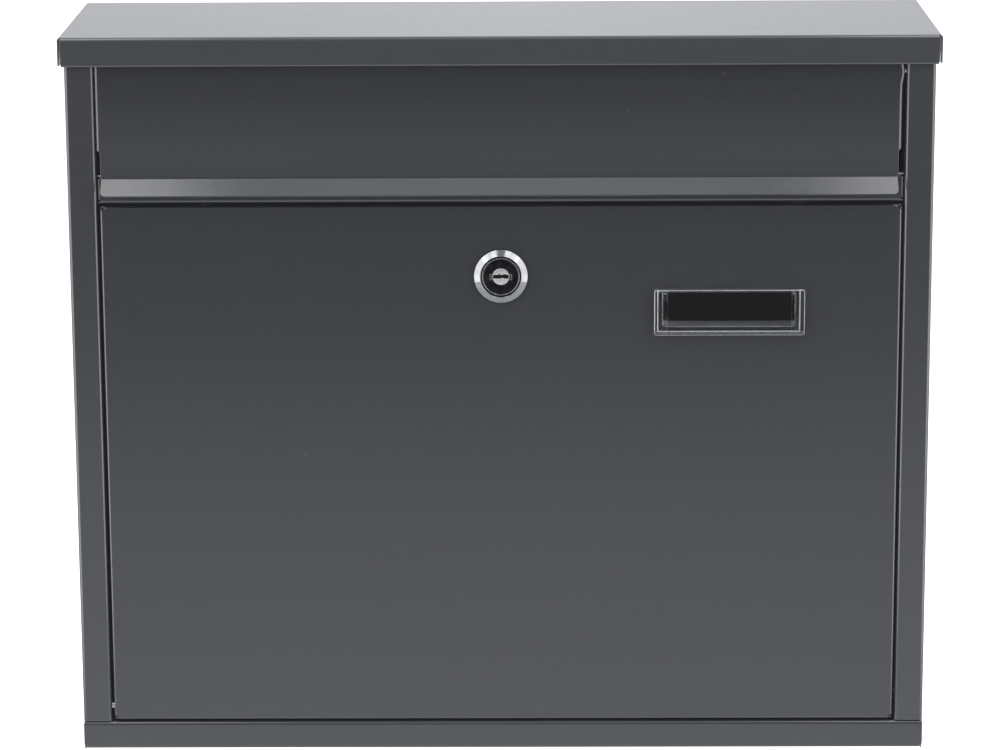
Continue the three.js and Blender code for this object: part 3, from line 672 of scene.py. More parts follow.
# ---- flap
def make_flap():
    """The posting flap: a face, a finger lip folded out at its foot, and a flange at each side for a pin."""
    face = FRONT + HALF
    lip_reach = 6.4
    fold = flap_low.z + lip_reach + HALF * math.sin(math.radians(45))
    shoulder = fold + 11.7
    wide = 1.2  # middle-line radius of the side folds
    tangent = FINE * math.tan(math.radians(22.5))
    u0, u1 = flap_low.x - 0.15 + wide + HALF, flap_high.x - wide - HALF
    v0, v1 = fold + tangent, flap_high.z
    lip = Chain([(45, FINE), lip_reach * math.sqrt(2) - tangent])
    flange = Chain([(-90, wide), 9 - wide - HALF])
    side_fold = (flange, shoulder - 1.1, FAR)
    panel = Blank((0, face, 0), X, Z, (u0, u1, v0, v1), low=lip, right=side_fold, left=side_fold)
    tip, corner, side = v0 - lip.length, 2.4, flange.length

    def half(u, s):
        """One side's outline, from the lip's tip to the top. s is 1 on the right and -1 on the left."""
        within = 1.3 if s > 0 else 1.65  # from the fold's outer face to the lip's end
        edge = u + s * (wide + HALF - within)
        end = edge - s * 0.2
        rounded = arc((end - s * corner, tip + corner), (s * corner, corner), -90, 0, 8)
        return [*rounded, (end, v0 - FINE), (edge, v0 + 0.5), (edge, shoulder - 1.0),
                (edge + s * 0.5, shoulder), (u + s * (side - 5), shoulder), (u + s * side, shoulder + 13),
                (u + s * side, v1 - 0.05), (u, v1 - 0.05)]

    outline = soften(half(u1, 1) + half(u0, -1)[::-1], 0.45, 3)
    reach = QUARTER * wide + FLAP_AXIS[0] - FRONT - wide - HALF
    holes = [pin_hole(u, FLAP_AXIS[1]) for u in (u0 - reach, u1 + reach)]
    swollen, stand_out, fade = 5, 0.85, 3.6  # its width beside the fold, its height and its reach up and down

    def swell(u, v):
        """The right-hand fold stands out a little round its pin."""
        share = min(1.0, max(0.0, (u - u1 + swollen) / swollen))
        return Vector((stand_out * share * share * math.exp(-(((v - FLAP_AXIS[1] + 0.5) / fade) ** 2)), 0, 0))

    guides = panel.guides(14)
    for z in (FLAP_AXIS[1] - 7.5 + k for k in range(1, 14)):
        guides.append(((u1 - 6, z), (u1 + side + 1, z)))
    guides += [((u1 - k, v1 - 16), (u1 - k, v1 + 5)) for k in (1.2, 2.5, 3.8, swollen)]
    return fold_sheet("flap_folded", panel.place, [outline, *holes], guides, nudge=swell)


# ---- door
def make_door():
    """The door: a face with four folded sides, which leave a relief hole at each corner."""
    face = FRONT + HALF
    u0, u1 = door_low.x + FINE_OUT, door_high.x - FINE_OUT
    v0, v1 = door_low.z + FINE_OUT, door_high.z - FINE_OUT
    side, top, foot = (Chain([(-90, FINE), depth - FINE_OUT]) for depth in (10, 8, 7))
    panel = Blank((0, face, 0), X, Z, (u0, u1, v0, v1), right=side, left=side, high=top, low=foot)
    relief, off, past, root = 1.15, 0.5, 1.02, 0.1
    pin = QUARTER * FINE + DOOR_AXIS[0] - FRONT - FINE_OUT  # from a side fold's start to its pin
    centre_z = DOOR_AXIS[1]

    def notch(u, v, s, t, side_reach, end_reach):
        """One corner: from the side fold's outer edge round the relief to the end fold's outer edge."""
        start = -math.degrees(math.asin((off - root) / relief))
        stop = math.degrees(math.acos((past - off) / relief))
        ring = arc((off, off), relief, start, stop - 360, 20)
        return [(u + s * a, v + t * b) for a, b in [(side_reach, root), *ring, (past, end_reach)]]

    def ear(u, s):
        """The side fold's foot, round about the hinge pin."""
        ring = arc((0, 0), (side.length - pin, centre_z - v0 + root), -90, 0, 10)
        return [(u + s * (pin + a), centre_z + b) for a, b in ring]

    lower_right = notch(u1, v0, 1, -1, 4.0, foot.length)[::-1][:-1] + ear(u1, 1)
    lower_left = ear(u0, -1)[::-1] + notch(u0, v0, -1, -1, 4.0, foot.length)[1:]
    upper_right = notch(u1, v1, 1, 1, side.length, top.length)
    upper_left = notch(u0, v1, -1, 1, side.length, top.length)[::-1]
    outline = soften(lower_right + upper_right + upper_left + lower_left, 0.4, 3)
    w, h, z = 27.7, 5.9, plate_high.z - WINDOW_DROP
    window = soften(rectangle(PLATE_X - w, PLATE_X + w, z - h, z + h)[::-1], 0.8)
    lock_hole = round_hole((LOCK_X, LOCK_Z), 9.55, 64)
    holes = [pin_hole(u0 - pin, centre_z), pin_hole(u1 + pin, centre_z), lock_hole, window]
    return fold_sheet("door_folded", panel.place, [outline, *holes], panel.guides(14))


# ---- cam lock
def facing(x, y, z):
    """Places a piece drawn in (across, up) so that its +Z comes out of the door."""
    return Matrix(((1, 0, 0, x), (0, 0, -1, y), (0, 1, 0, z), (0, 0, 0, 1)))


def backing(x, y, z):
    """The same, with +Z going back into the case."""
    return Matrix(((1, 0, 0, x), (0, 0, 1, y), (0, -1, 0, z), (0, 0, 0, 1)))


def on_lock(node, back=False):
    """A lock piece's length, and its place when drawn from its rear end forwards, or for back, rearwards."""
    low, high = limits(node)
    return high.y - low.y, backing(LOCK_X, low.y, LOCK_Z) if back else facing(LOCK_X, high.y, LOCK_Z)


def square(half):
    return rectangle(-half, half, -half, half)


def make_lock_body():
    """Threaded barrel, flange with a conical bezel, and the recess that the plug sits in."""
    face, place = on_lock("lock_body")
    seat = face - 2.6
    rim = soften([(7.5, 0), (7.5, face - 1.7), (8.4, face - 1.7), (8.4, face - 0.1), (8.6, face),
                  (11.0, face - 1.55), (11.15, face - 1.85), (11.15, seat), (9.4, seat), (9.4, seat - 2)],
                 0.16, 5, False)
    barrel = thread(9.4, seat - 2.2, 0.8, 1.0, 0.35)
    return turned("lock_bezel", rim + barrel + [(8.9, 0)], place, 160)


def make_ring():
    thick, place = on_lock("lock_ring")
    outline = soften([(7.35, 0), (7.35, thick), (7.9, thick), (7.9, 0)], 0.26, 6)
    return turned("lock_trim_ring", outline, place, 160)


def make_lock_nut():
    thick, place = on_lock("lock_nut", back=True)
    bm = bmesh.new()
    add_hexagon(bm, 24, thick, 9.45)
    return finished("lock_back_nut", bm, place, 28)


def make_plug():
    """Black plug, hollow round the key core, with the square tang that carries the cam."""
    face, place = on_lock("lock_plug")
    back, shoulder, floor = 2.5, face - 1.1, face - 6.3
    path = soften([(0, floor), (3.6, floor), (3.6, face), (7.15, face), (7.15, shoulder), (7.4, shoulder),
                   (7.4, back), (0, back)], 0.22, 5, False)
    bm = bmesh.new()
    add_turned(bm, path, 128)
    add_block(bm, soften(square(3.5), 0.5), 0, back + 1, edge=0.2)
    return finished("lock_plug_face", bm, place)


def make_core():
    """Key core with its keyway, and a small raised frame at each side of it."""
    depth, place = on_lock("key_core")
    keyway = soften([(-3.2, -0.85), (-3.2, 0.7), (-1.3, 0.7), (-1.0, 1.0), (-0.2, 1.0), (0.0, 0.75),
                     (0.9, 0.75), (1.1, 1.05), (2.2, 1.05), (2.5, 0.75), (3.2, 0.75), (3.2, -0.85),
                     (1.2, -0.85), (0.9, -0.6), (0.2, -0.6), (-0.1, -0.85)], 0.12, 3)
    bm = bmesh.new()
    add_block(bm, arc((0, 0), 3.5, 0, 355, 71), 0.9, depth, edge=0.22, holes=[keyway], steps=4)
    add_turned(bm, [(0, 0), (3.2, 0), (3.4, 0.2), (3.4, 1.0), (0, 1.0)], 72)
    for x in (-4.05, 4.05):
        outer = soften([(x + a * 0.55, b * 1.3 - 0.1) for a, b in square(1)], 0.2, 3)
        inner = soften([(x + a * 0.25, b * 0.95 - 0.1) for a, b in square(1)[::-1]], 0.1, 3)
        add_block(bm, outer, depth - 0.6, depth + 0.35, edge=0.08, holes=[inner])
    return finished("key_core_face", bm, place)


def make_shutter():
    """The sprung dust shutter inside the keyway, with its lower ward."""
    depth, place = on_lock("key_core")
    outline = soften([(-3.1, -0.8), (3.1, -0.8), (3.1, 0.15), (1.1, 0.15), (0.9, -0.1), (-0.9, -0.1),
                      (-1.1, 0.15), (-3.1, 0.15)], 0.1, 3)
    return block("key_shutter", outline, depth - 3.2, depth - 1.7, place, edge=0.08)


def make_cam():
    """The cam: a round boss over the tang's square hole, and a straight arm."""
    thick, place = on_lock("lock_cam")
    half, boss, reach = 6.5, 8.0, 36
    arm = [(6, -boss), (9.5, -half), (reach, -half), (reach, half), (9.5, half), (6, boss)]
    outline = arc((0, 0), boss, 90, 270, 24) + soften(arm, 3.0, 6, False)
    hole = soften(square(3.6)[::-1], 0.4, 3)
    return block("lock_cam_plate", outline, 0, thick, place, edge=0.3, holes=[hole])


def make_washer():
    thick, place = on_lock("cam_washer")
    return turned("cam_washer_ring", soften([(2.6, 0), (2.6, thick), (6, thick), (6, 0)], 0.18, 3), place, 72)


def make_screw():
    length, place = on_lock("cam_screw", back=True)
    bm = bmesh.new()
    add_hexagon(bm, 8, 3.5, base=length - 3.5)
    shank = [(0, 0), (1.7, 0), *thread(2.4, 0.4, length - 3.6), (2.4, length - 3.3), (0, length - 3.3)]
    add_turned(bm, shank, 48)
    return finished("cam_screw_hex", bm, place, 28)


# ---- pins, rivets, studs and nuts
def make_pin(node):
    """Head inside the fold, shank through the gap, peened tail inside the post."""
    low, high = limits(node)
    side = 1 if low.x > 0 else -1
    length = high.x - low.x
    start = low.x if side > 0 else high.x
    path = soften([(0, 0), (1.6, 0.0), (2.6, 0.55), (2.6, 1.2), (1.5, 1.2), (1.5, length - 1.0),
                   (2.4, length - 1.0), (2.4, length - 0.35), (1.6, length), (0, length)], 0.22, 4, False)
    return turned(node + "_turned", path, aim((start, *axis_of(node)), (side, 0, 0)), 64)


def stud_base(x, y):
    return Vector((x, y, HOOD_LIFT + TAN * y - HALF / COS))


STUD_WAY = Vector((0, SIN, -COS))


def make_stud(name, x, y):
    path = [(0, -0.1), (3.0, -0.1), (2.6, 0.15), (2.0, 0.5), *thread(2.0, 1.0, 8.6), (1.6, 9.0), (0, 9.0)]
    return turned(name, path, aim(stud_base(x, y), STUD_WAY), 40)


def make_hood_nut(name, x, y):
    bm = bmesh.new()
    add_hexagon(bm, 7, 3.2, 1.8)
    return finished(name, bm, aim(stud_base(x, y) + STUD_WAY * 1.4, STUD_WAY), 28)


# ---- nameplate window
def add_moulding(bm, outline, thick, towers):
    """A plate from 0 to thick along Z with towers below it. A tower is [(depth, outline), ...] downwards."""
    front_edge, rear_edge, tip_edge = 0.45, 0.12, 0.15
    face = inset(outline, front_edge)
    (front,) = cap(bm, [face], thick)
    side = [bm.verts.new((*point, rear_edge)) for point in outline]
    feet = [list(reversed(tower[0][1])) for tower in towers]
    back, *holes = cap(bm, [inset(outline, rear_edge), *feet], 0, False)
    skin(bm, [front, *rounding(bm, outline, face, thick, front_edge, 5), side, back])
    for tower, hole in zip(towers, holes):
        rows = [hole[::-1]]
        for depth, loop in tower[1:-1]:
            rows.append([bm.verts.new((u, v, -depth)) for u, v in loop])
        depth, loop = tower[-1]
        rows.append([bm.verts.new((u, v, -depth + tip_edge)) for u, v in loop])
        rows += cap(bm, [inset(loop, tip_edge)], -depth, False)
        skin(bm, rows)


def make_nameplate():
    """The clear cover, with a U-shaped rib behind it that holds the card, and two snap legs."""
    w, h, thick = PLATE_HALF_X, PLATE_HALF_Z, PLATE_THICK
    x0, x1, foot, top, rib = -w + 1.6, w - 2.15, -h + 1.6, h - 0.9, 1.8
    u_rib = soften([(x0, foot), (x1, foot), (x1, top), (x1 - rib, top), (x1 - rib, foot + rib),
                    (x0 + rib, foot + rib), (x0 + rib, top), (x0, top)], 0.7, 5)
    rib_depth = FRONT - plate_low.y - thick - GAP
    towers = [[(0, inset(u_rib, -0.35)), (0.12, inset(u_rib, -0.13)), (0.35, u_rib), (rib_depth, u_rib)]]
    middle, leg = h - WINDOW_DROP, 5.3
    catch = 3.0  # depth at which a leg's catch stands out behind the door's sheet
    length = plate_high.y - plate_low.y - thick

    def section(side, inner, outer, half):
        """A snap leg's outline between two distances from the middle."""
        a, b = sorted((side * inner, side * outer))
        return soften(rectangle(a, b, middle - half, middle + half), 0.25, 3)

    for side in (-1, 1):
        towers.append([(0, section(side, 25.6, 27.4, leg)), (catch, section(side, 25.9, 27.4, leg)),
                       (catch + 0.15, section(side, 25.9, 28.3, leg - 2.6)),
                       (catch + 0.6, section(side, 25.95, 28.3, leg - 2.6)),
                       (length, section(side, 26.1, 27.3, leg - 0.6))])
    bm = bmesh.new()
    add_moulding(bm, soften(rectangle(-w, w, -h, h), 0.9, 6), thick, towers)
    return finished("nameplate_cover", bm, facing(PLATE_X, plate_low.y + thick, PLATE_Z), 30)


# ---- which piece stands for which node
def adopt(piece, body, slot, *nodes):
    if nodes:
        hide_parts(*nodes)
    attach(piece, body)
    return piece


case = adopt(make_case(), "case", "powder_coat", "case_shell")
pan = adopt(make_pan(), "case", "powder_coat", "bottom_pan")
rail = adopt(make_rail(), "case", "powder_coat", "cross_rail")
hood = adopt(make_hood(), "case", "powder_coat", "hood")
flap = adopt(make_flap(), "flap", "powder_coat", "flap_panel")
door = adopt(make_door(), "door", "powder_coat", "door_panel")
bezel = adopt(make_lock_body(), "door", "lock_chrome", "lock_body")
ring = adopt(make_ring(), "door", "lock_chrome", "lock_ring")
plated = [
    adopt(make_lock_nut(), "door", "zinc_plated_steel", "lock_nut"),
    adopt(make_cam(), "lock_plug", "zinc_plated_steel", "lock_cam"),
    adopt(make_washer(), "lock_plug", "zinc_plated_steel", "cam_washer"),
    adopt(make_screw(), "lock_plug", "zinc_plated_steel", "cam_screw"),
]
for kind in ("door_pin", "flap_pin", "rail_rivet"):
    for pin in (f"{kind}_left", f"{kind}_right"):
        plated.append(adopt(make_pin(pin), "case", "zinc_plated_steel", pin))
for x, y in STUDS:
    where = f"{'left' if x < 0 else 'right'}_{'front' if y == STUD_DEPTHS[0] else 'rear'}"
    nut, stud = make_hood_nut(f"hood_hex_{where}", x, y), make_stud(f"hood_stud_{where}", x, y)
    plated.append(adopt(nut, "case", "zinc_plated_steel", f"hood_nut_{where}"))
    plated.append(adopt(stud, "case", "zinc_plated_steel"))
plug = adopt(make_plug(), "lock_plug", "lock_black", "lock_plug")
core = adopt(make_core(), "lock_plug", "nickel_silver", "key_core")
shutter = adopt(make_shutter(), "lock_plug", "nickel_silver")
cover = adopt(make_nameplate(), "door", "clear_plastic", "nameplate_window")


# ---- materials
class Paint:
    """A material whose nodes are added with short calls. A value that is a socket is linked."""

    def __init__(self, name, tree=None):
        self.material = None
        if tree is None:
            self.material = bpy.data.materials.new(name)
            self.material.use_nodes = True
            tree = self.material.node_tree
            tree.nodes.clear()
        self.tree = tree

    def put(self, socket, value):
        if isinstance(value, bpy.types.NodeSocket):
            self.tree.links.new(value, socket)
        else:
            socket.default_value = value

    def node(self, kind, inputs=None, **settings):
        n = self.tree.nodes.new(kind)
        for key, value in settings.items():
            setattr(n, key, value)
        for key, value in (inputs or {}).items():
            self.put(n.inputs[key], value)
        return n

    def shader(self, **inputs):
        """The one Principled shader, wired to the output. Underscores stand for spaces."""
        n = self.node("ShaderNodeBsdfPrincipled", {k.replace("_", " "): v for k, v in inputs.items()})
        out = self.node("ShaderNodeOutputMaterial")
        self.tree.links.new(n.outputs["BSDF"], out.inputs["Surface"])
        return self.material

    def coords(self):
        return self.node("ShaderNodeTexCoord").outputs["Object"]

    def noise(self, vector, scale, detail=2.0, roughness=0.5):
        inputs = {"Vector": vector, "Scale": scale, "Detail": detail, "Roughness": roughness}
        return self.node("ShaderNodeTexNoise", inputs).outputs["Fac"]

    def math(self, operation, a, b=0.0, clamp=False):
        return self.node("ShaderNodeMath", {0: a, 1: b}, operation=operation, use_clamp=clamp).outputs[0]

    def times(self, a, b, clamp=False):
        return self.math("MULTIPLY", a, b, clamp)

    def plus(self, a, b, clamp=False):
        return self.math("ADD", a, b, clamp)

    def apart(self, a, b):
        return self.math("ABSOLUTE", self.math("SUBTRACT", a, b))

    def xyz(self, vector):
        n = self.node("ShaderNodeSeparateXYZ", {"Vector": vector})
        return n.outputs["X"], n.outputs["Y"], n.outputs["Z"]

    def vector(self, operation, a, b=None):
        second = {} if b is None else {"Scale" if operation == "SCALE" else 1: b}
        n = self.node("ShaderNodeVectorMath", {0: a, **second}, operation=operation)
        return n.outputs["Value" if operation == "LENGTH" else "Vector"]

    def cells(self, vector, scale):
        """Voronoi cells: the distance to each one's middle, and a random value for each."""
        n = self.node("ShaderNodeTexVoronoi", {"Vector": vector, "Scale": scale})
        chance = self.node("ShaderNodeSeparateColor", {"Color": n.outputs["Color"]})
        return n.outputs["Distance"], chance.outputs[0]

    def spread(self, value, low, high, start=0.0, end=1.0):
        """The value's range start to end mapped to low to high, and held there beyond it."""
        inputs = {"Value": value, "From Min": start, "From Max": end, "To Min": low, "To Max": high}
        return self.node("ShaderNodeMapRange", inputs).outputs["Result"]

    def mix(self, share, a, b):
        """Colour a at share 0, colour b at share 1."""
        n = self.node("ShaderNodeMix", {0: share, 6: a, 7: b}, data_type="RGBA")
        return n.outputs[2]

    def bump(self, height, distance):
        return self.node("ShaderNodeBump", {"Height": height, "Distance": distance}).outputs["Normal"]


def powder_coat(name, tone, pale=None):
    """Semi-gloss anthracite coat. Where pale is given, painted shade darkens it towards the hood: it pales
    from the first height of pale down to the second, in metres, and a painted shadow darkens the foot of the
    lip.
    """
    p = Paint(name)
    at = p.coords()
    peel, grain = p.noise(at, 800, 1.5), p.noise(at, 2800, 2.0)
    height = p.plus(p.times(peel, 0.6), p.times(grain, 0.4))
    shades = [tuple(tone * c * k for c in (1.0, 1.03, 1.13)) + (1,) for k in (0.98, 1.05, 1.2)]
    colour = p.mix(p.spread(p.noise(at, 1900, 1.0), 0, 1, 0.35, 0.7), shades[0], shades[1])
    colour = p.mix(p.spread(p.noise(at, 9, 3.0), 0, 0.15, 0.35, 0.7), colour, shades[2])
    if pale:
        # Painted shade: darker near the hood above, lighter lower down, and darker still at the lip's foot.
        z = p.xyz(at)[2]
        lip_foot_shade = p.spread(z, 0.55, 1.0, 0.0925, 0.0945)
        colour = p.vector("SCALE", colour, p.times(p.spread(z, 0.72, 1.38, *pale), lip_foot_shade))
    distance, chance = p.cells(at, 75)
    speck = p.times(p.spread(distance, 1, 0, 0.008, 0.016), p.math("GREATER_THAN", chance, 0.82))
    dust = p.times(speck, 0.6, True)
    colour = p.mix(dust, colour, (0.42, 0.43, 0.44, 1))
    rough = p.plus(p.spread(p.noise(at, 260, 2.0), 0.13, 0.17, 0.3, 0.7), p.times(dust, 0.3))
    # Painted glow: a faint bluish emission lifts the coat's darks on every coated piece.
    return p.shader(Base_Color=colour, Roughness=rough, Normal=p.bump(height, 3e-6), IOR=1.68,
                    Emission_Color=(0.9, 0.95, 1.0, 1), Emission_Strength=0.0075)


def around_lock(p, at, stretch):
    """Noise that changes only with the angle about the lock's axis, and the distance from the axis."""
    x, _, z = p.xyz(p.vector("SUBTRACT", at, (LOCK_X * MM, 0, LOCK_Z * MM)))
    flat = p.node("ShaderNodeCombineXYZ", {"X": x, "Y": 0.0, "Z": z}).outputs[0]
    return p.noise(p.vector("NORMALIZE", flat), stretch, 3.0), p.vector("LENGTH", flat)


def chrome(name, recess):
    """Polished chrome, with painted shade darkening it nearer the lock's axis than the recess radius."""
    p = Paint(name)
    at = p.coords()
    smear = p.noise(at, 420, 3.0)
    lines, radius = around_lock(p, at, 26)
    # Painted shade: the recess wall inside the bezel goes near black and rougher.
    recess_shade = p.spread(radius, 1, 0, (recess - 0.1) * MM, recess * MM)
    colour = p.mix(p.spread(smear, 0, 1, 0.3, 0.8), (0.25, 0.253, 0.26, 1), (0.21, 0.213, 0.22, 1))
    colour = p.mix(p.times(recess_shade, p.spread(smear, 1.0, 0.85, 0.4, 0.7)), colour, (0.012, 0.012, 0.013, 1))
    rough = p.plus(p.spread(smear, 0.10, 0.16, 0.35, 0.75), p.spread(lines, 0, 0.05, 0.4, 0.7))
    rough = p.plus(rough, p.times(recess_shade, 0.35))
    height = p.plus(p.times(lines, 0.7), p.times(p.noise(at, 1500, 2.0), 0.3))
    return p.shader(Base_Color=colour, Roughness=rough, Metallic=1.0, Normal=p.bump(height, 8e-6))


def zinc():
    """Bright zinc with a fine spangle and a yellow cast, made near black on the door's right pin as painted
    shade.
    """
    p = Paint("zinc_plated_steel")
    at = p.coords()
    colour = p.mix(p.cells(at, 1100)[1], (0.60, 0.61, 0.63, 1), (0.72, 0.725, 0.73, 1))
    colour = p.mix(p.spread(p.noise(at, 90, 3.0), 0, 0.3, 0.4, 0.7), colour, (0.55, 0.52, 0.44, 1))
    x, _, z = p.xyz(at)
    # Painted shade: the door's right pin, deep in its narrow gap, is made near black.
    right_pin_shade = p.times(p.math("GREATER_THAN", x, 0.15), p.math("LESS_THAN", z, -0.12))
    colour = p.mix(right_pin_shade, colour, (0.02, 0.021, 0.023, 1))
    rough = p.spread(p.noise(at, 700, 3.0), 0.22, 0.42, 0.3, 0.7)
    normal = p.bump(p.noise(at, 1800, 3.0), 1.2e-5)
    return p.shader(Base_Color=colour, Roughness=rough, Metallic=1.0, Normal=normal)


def gloss_black():
    p = Paint("lock_black")
    at = p.coords()
    haze = p.noise(at, 350, 3.0)
    colour = p.mix(p.spread(haze, 0, 1, 0.35, 0.75), (0.003, 0.003, 0.0035, 1), (0.009, 0.009, 0.011, 1))
    scratch = p.node("ShaderNodeMapping", {"Vector": at, "Scale": (300, 300, 4200), "Rotation": (0, 0.5, 0)})
    height = p.noise(scratch.outputs[0], 1.0, 2.0)
    rough = p.spread(haze, 0.08, 0.18, 0.3, 0.75)
    return p.shader(Base_Color=colour, Roughness=rough, Normal=p.bump(height, 5e-6), IOR=1.5)


def nickel(name, light, dark):
    """Brushed metal, darkened at the rim of the key core and beyond."""
    p = Paint(name)
    at = p.coords()
    brush = p.node("ShaderNodeMapping", {"Vector": at, "Scale": (5200, 700, 700)})
    lines = p.noise(brush.outputs[0], 1.0, 3.0)
    colour = p.mix(p.spread(p.noise(at, 900, 3.0), 0, 1, 0.3, 0.75), light, dark)
    rim = p.spread(around_lock(p, at, 20)[1], 0, 0.75, 3.35 * MM, 3.6 * MM)
    colour = p.mix(rim, colour, (0.02, 0.02, 0.02, 1))
    rough = p.spread(lines, 0.34, 0.46, 0.3, 0.7)
    return p.shader(Base_Color=colour, Roughness=rough, Metallic=1.0, Normal=p.bump(lines, 3e-6))


def clear_plastic():
    """Clear moulding: frosted foot and snap legs, and painted highlight lines where light gathers in rib and
    rim.
    """
    p = Paint("clear_plastic")
    at = p.coords()
    x, y, z = p.xyz(at)
    from_middle = p.apart(x, PLATE_X * MM)
    behind = p.spread(y, 0, 1, (plate_low.y + PLATE_THICK - 0.1) * MM, (plate_low.y + PLATE_THICK + 0.1) * MM)
    foot = p.spread(z, 1, 0, (plate_low.z + 1.4) * MM, (plate_low.z + 1.9) * MM)
    legs = p.times(p.spread(from_middle, 0, 1, 25.4 * MM, 25.8 * MM),
                   p.spread(from_middle, 1, 0, 27.5 * MM, 27.8 * MM), True)
    legs = p.times(legs, behind, True)
    scuff = p.spread(p.noise(at, 1400, 4.0, 0.7), 0, 1, 0.42, 0.62)
    frost = p.times(p.plus(p.times(foot, 0.85), p.times(legs, 0.8), True), p.spread(scuff, 0.55, 1.0))

    rib_half, rib_middle, rib_foot = PLATE_HALF_X - 1.725, PLATE_X - 0.275, plate_low.z + 1.45
    from_rib = p.apart(x, rib_middle * MM)
    beside = p.spread(p.apart(from_rib, rib_half * MM), 1, 0, 0.16 * MM, 0.32 * MM)
    beside = p.times(beside, p.math("GREATER_THAN", z, rib_foot * MM))
    under = p.spread(p.apart(z, rib_foot * MM), 1, 0, 0.12 * MM, 0.26 * MM)
    under = p.times(under, p.math("LESS_THAN", from_rib, (rib_half + 0.2) * MM))
    past_x = p.math("SUBTRACT", from_middle, PLATE_HALF_X * MM)
    past_z = p.math("SUBTRACT", p.apart(z, PLATE_Z * MM), PLATE_HALF_Z * MM)
    rim = p.spread(p.math("MAXIMUM", past_x, past_z), 0, 0.26, -0.42 * MM, -0.2 * MM)
    # Painted highlights: pale lines beside and under the rib and round the rim.
    lines = p.times(p.plus(beside, under, True), behind)
    lines = p.math("MAXIMUM", lines, p.times(rim, p.spread(scuff, 1.0, 0.6)))

    clear = p.math("SUBTRACT", 1.0, p.plus(p.times(frost, 1.1), lines, True))
    colour = p.mix(p.times(frost, 2.2, True), (0.93, 0.94, 0.95, 1), (0.085, 0.087, 0.09, 1))
    colour = p.mix(lines, colour, (0.9, 0.9, 0.9, 1))
    rough = p.plus(p.spread(p.noise(at, 500, 3.0), 0.0, 0.03, 0.35, 0.7), p.times(frost, 0.45))
    height = p.plus(p.times(p.noise(at, 160, 1.0), 0.05), p.times(frost, scuff))
    return p.shader(Base_Color=colour, Roughness=rough, Transmission_Weight=clear, IOR=1.49,
                    Specular_IOR_Level=0.2, Normal=p.bump(height, 3e-5))


def wear(material, *pieces):
    for piece in pieces:
        piece.data.materials.clear()
        piece.data.materials.append(material)


# Painted light and shade: one coat in lighter and darker copies, its tone set per piece for how brightly each
# piece is lit.
wear(powder_coat("powder_coat_case", 0.0272), case, rail)
wear(powder_coat("powder_coat_pan", 0.0235), pan)
wear(powder_coat("powder_coat_hood", 0.0325), hood)
# The flap's coat carries painted shade from the hood and painted shadow at its lip's foot.
wear(powder_coat("powder_coat_flap", 0.0222, (0.139, 0.105)), flap)
wear(powder_coat("powder_coat_door", 0.0222), door)
wear(chrome("lock_chrome", 8.45), bezel)
wear(chrome("ring_chrome", 0.0), ring)
wear(zinc(), *plated)
wear(gloss_black(), plug)
wear(nickel("nickel_silver", (0.70, 0.695, 0.68, 1), (0.56, 0.55, 0.54, 1)), core)
wear(nickel("shutter_brass", (0.10, 0.055, 0.03, 1), (0.03, 0.02, 0.018, 1)), shutter)
wear(clear_plastic(), cover)

# ---- studio
scene = bpy.context.scene
scene.view_settings.view_transform = "Standard"

FLOOR_FRONT, FLOOR_BACK, FLOOR_SIDE, FLOOR_LEVEL = -3.4, 16, 14, -0.62  # metres
corners = rectangle(-FLOOR_SIDE, FLOOR_SIDE, FLOOR_FRONT, FLOOR_BACK)
floor_mesh = bpy.data.meshes.new("studio_floor")
floor_mesh.from_pydata([(x, y, FLOOR_LEVEL) for x, y in corners], [], [(0, 1, 2, 3)])
floor = link("studio_floor", floor_mesh)
pale = Paint("pale_floor")
depth = pale.xyz(pale.coords())[1]
behind = pale.mix(pale.noise(pale.coords(), 3.0), (0.9, 0.9, 0.9, 1), (0.93, 0.93, 0.93, 1))
before = pale.mix(pale.spread(depth, 0, 1, FLOOR_FRONT, -2.5), (0.34, 0.34, 0.35, 1), (0.79, 0.80, 0.82, 1))
before = pale.mix(pale.spread(depth, 0, 1, -2.3, -1.3), before, (0.68, 0.69, 0.71, 1))
tint = pale.mix(pale.spread(depth, 0, 1, 0.2, 0.6), before, behind)
glow = pale.spread(depth, 0.0, 1.0, 0.2, 1.2)
wear(pale.shader(Base_Color=tint, Roughness=0.9, Emission_Color=(1, 1, 1, 1), Emission_Strength=glow), floor)

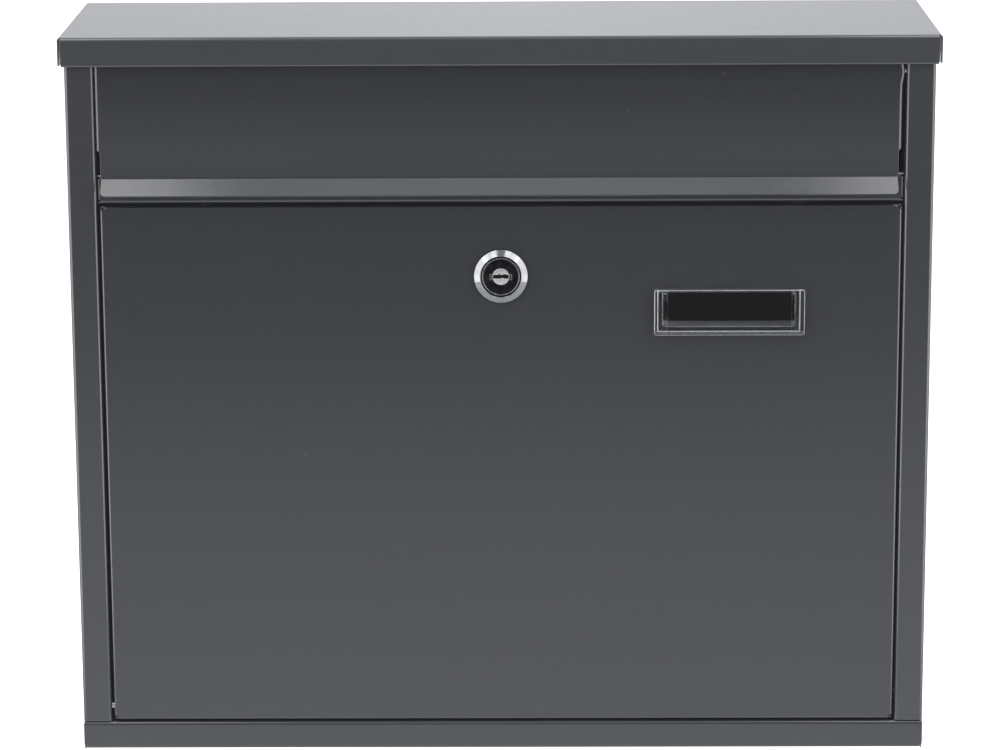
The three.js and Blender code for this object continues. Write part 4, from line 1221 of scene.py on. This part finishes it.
world = bpy.data.worlds.new("studio")
world.use_nodes = True
scene.world = world
world.node_tree.nodes.clear()
sky = Paint("studio", world.node_tree)
x, y, z = sky.xyz(sky.node("ShaderNodeTexCoord").outputs["Generated"])
above = sky.mix(sky.spread(z, 0, 1, -0.05, 0.9), (0.10, 0.10, 0.105, 1), (0.62, 0.66, 0.72, 1))
aside = sky.spread(sky.math("ABSOLUTE", x), 0, 1, 0.0, 0.16)
wall = sky.mix(aside, (1.15, 1.17, 1.22, 1), (1.02, 1.04, 1.08, 1))
colour = sky.mix(sky.spread(y, 0, 1, -0.25, 0.3), above, wall)
background = sky.node("ShaderNodeBackground", {"Color": colour, "Strength": 1.0})
sky.tree.links.new(background.outputs[0], sky.node("ShaderNodeOutputWorld").inputs["Surface"])


def soft_box(name, place, target, size, power, tint=(1, 1, 1)):
    data = bpy.data.lights.new(name, "AREA")
    data.shape, data.size, data.size_y = "RECTANGLE", *size
    data.energy, data.color = power, tint
    lamp = bpy.data.objects.new(name, data)
    scene.collection.objects.link(lamp)
    lamp.location = place
    lamp.rotation_euler = (Vector(target) - Vector(place)).to_track_quat("-Z", "Y").to_euler()


soft_box("top_left", (-0.60, -0.50, 1.7), (-0.60, -0.45, 0), (0.60, 1.0), 6.2)
soft_box("top_right", (0.60, -0.50, 1.7), (0.60, -0.45, 0), (0.60, 1.0), 6.2)
soft_box("top_middle", (0, -0.50, 1.75), (0, -0.45, 0), (0.44, 0.9), 0.9, (0.86, 0.94, 1.0))
lock_face, door_top = (0, -0.09, 0.053), (0, -0.1, 0.1)
for side in (-1, 1):
    soft_box("front_high", (side * 0.44, -0.887, 1.129), lock_face, (0.32, 0.34), 1.2)
    soft_box("front_low", (side * 0.80, -0.852, 0.91), lock_face, (0.30, 0.46), 1.3)
soft_box("side_left", (-1.25, -0.78, 0.25), door_top, (1.5, 1.6), 23)
soft_box("side_right", (1.25, -0.78, 0.25), door_top, (1.5, 1.6), 21)

# ---- camera
data = bpy.data.cameras.new("camera")
data.sensor_width, data.lens = 36, 115.3
data.clip_start, data.clip_end = 0.05, 60
camera = bpy.data.objects.new("camera", data)
scene.collection.objects.link(camera)
camera.location = (0.0126, -1.391, 0.272)
pitch, yaw, roll = (math.radians(a) for a in (11.33, -0.57, -0.27))
look = Vector((math.sin(yaw) * math.cos(pitch), math.cos(yaw) * math.cos(pitch), -math.sin(pitch)))
level = Vector((math.cos(yaw), -math.sin(yaw), 0))
across = level * math.cos(roll) + level.cross(look) * math.sin(roll)
camera.rotation_euler = Matrix((across, across.cross(look), -look)).transposed().to_euler()
scene.camera = camera
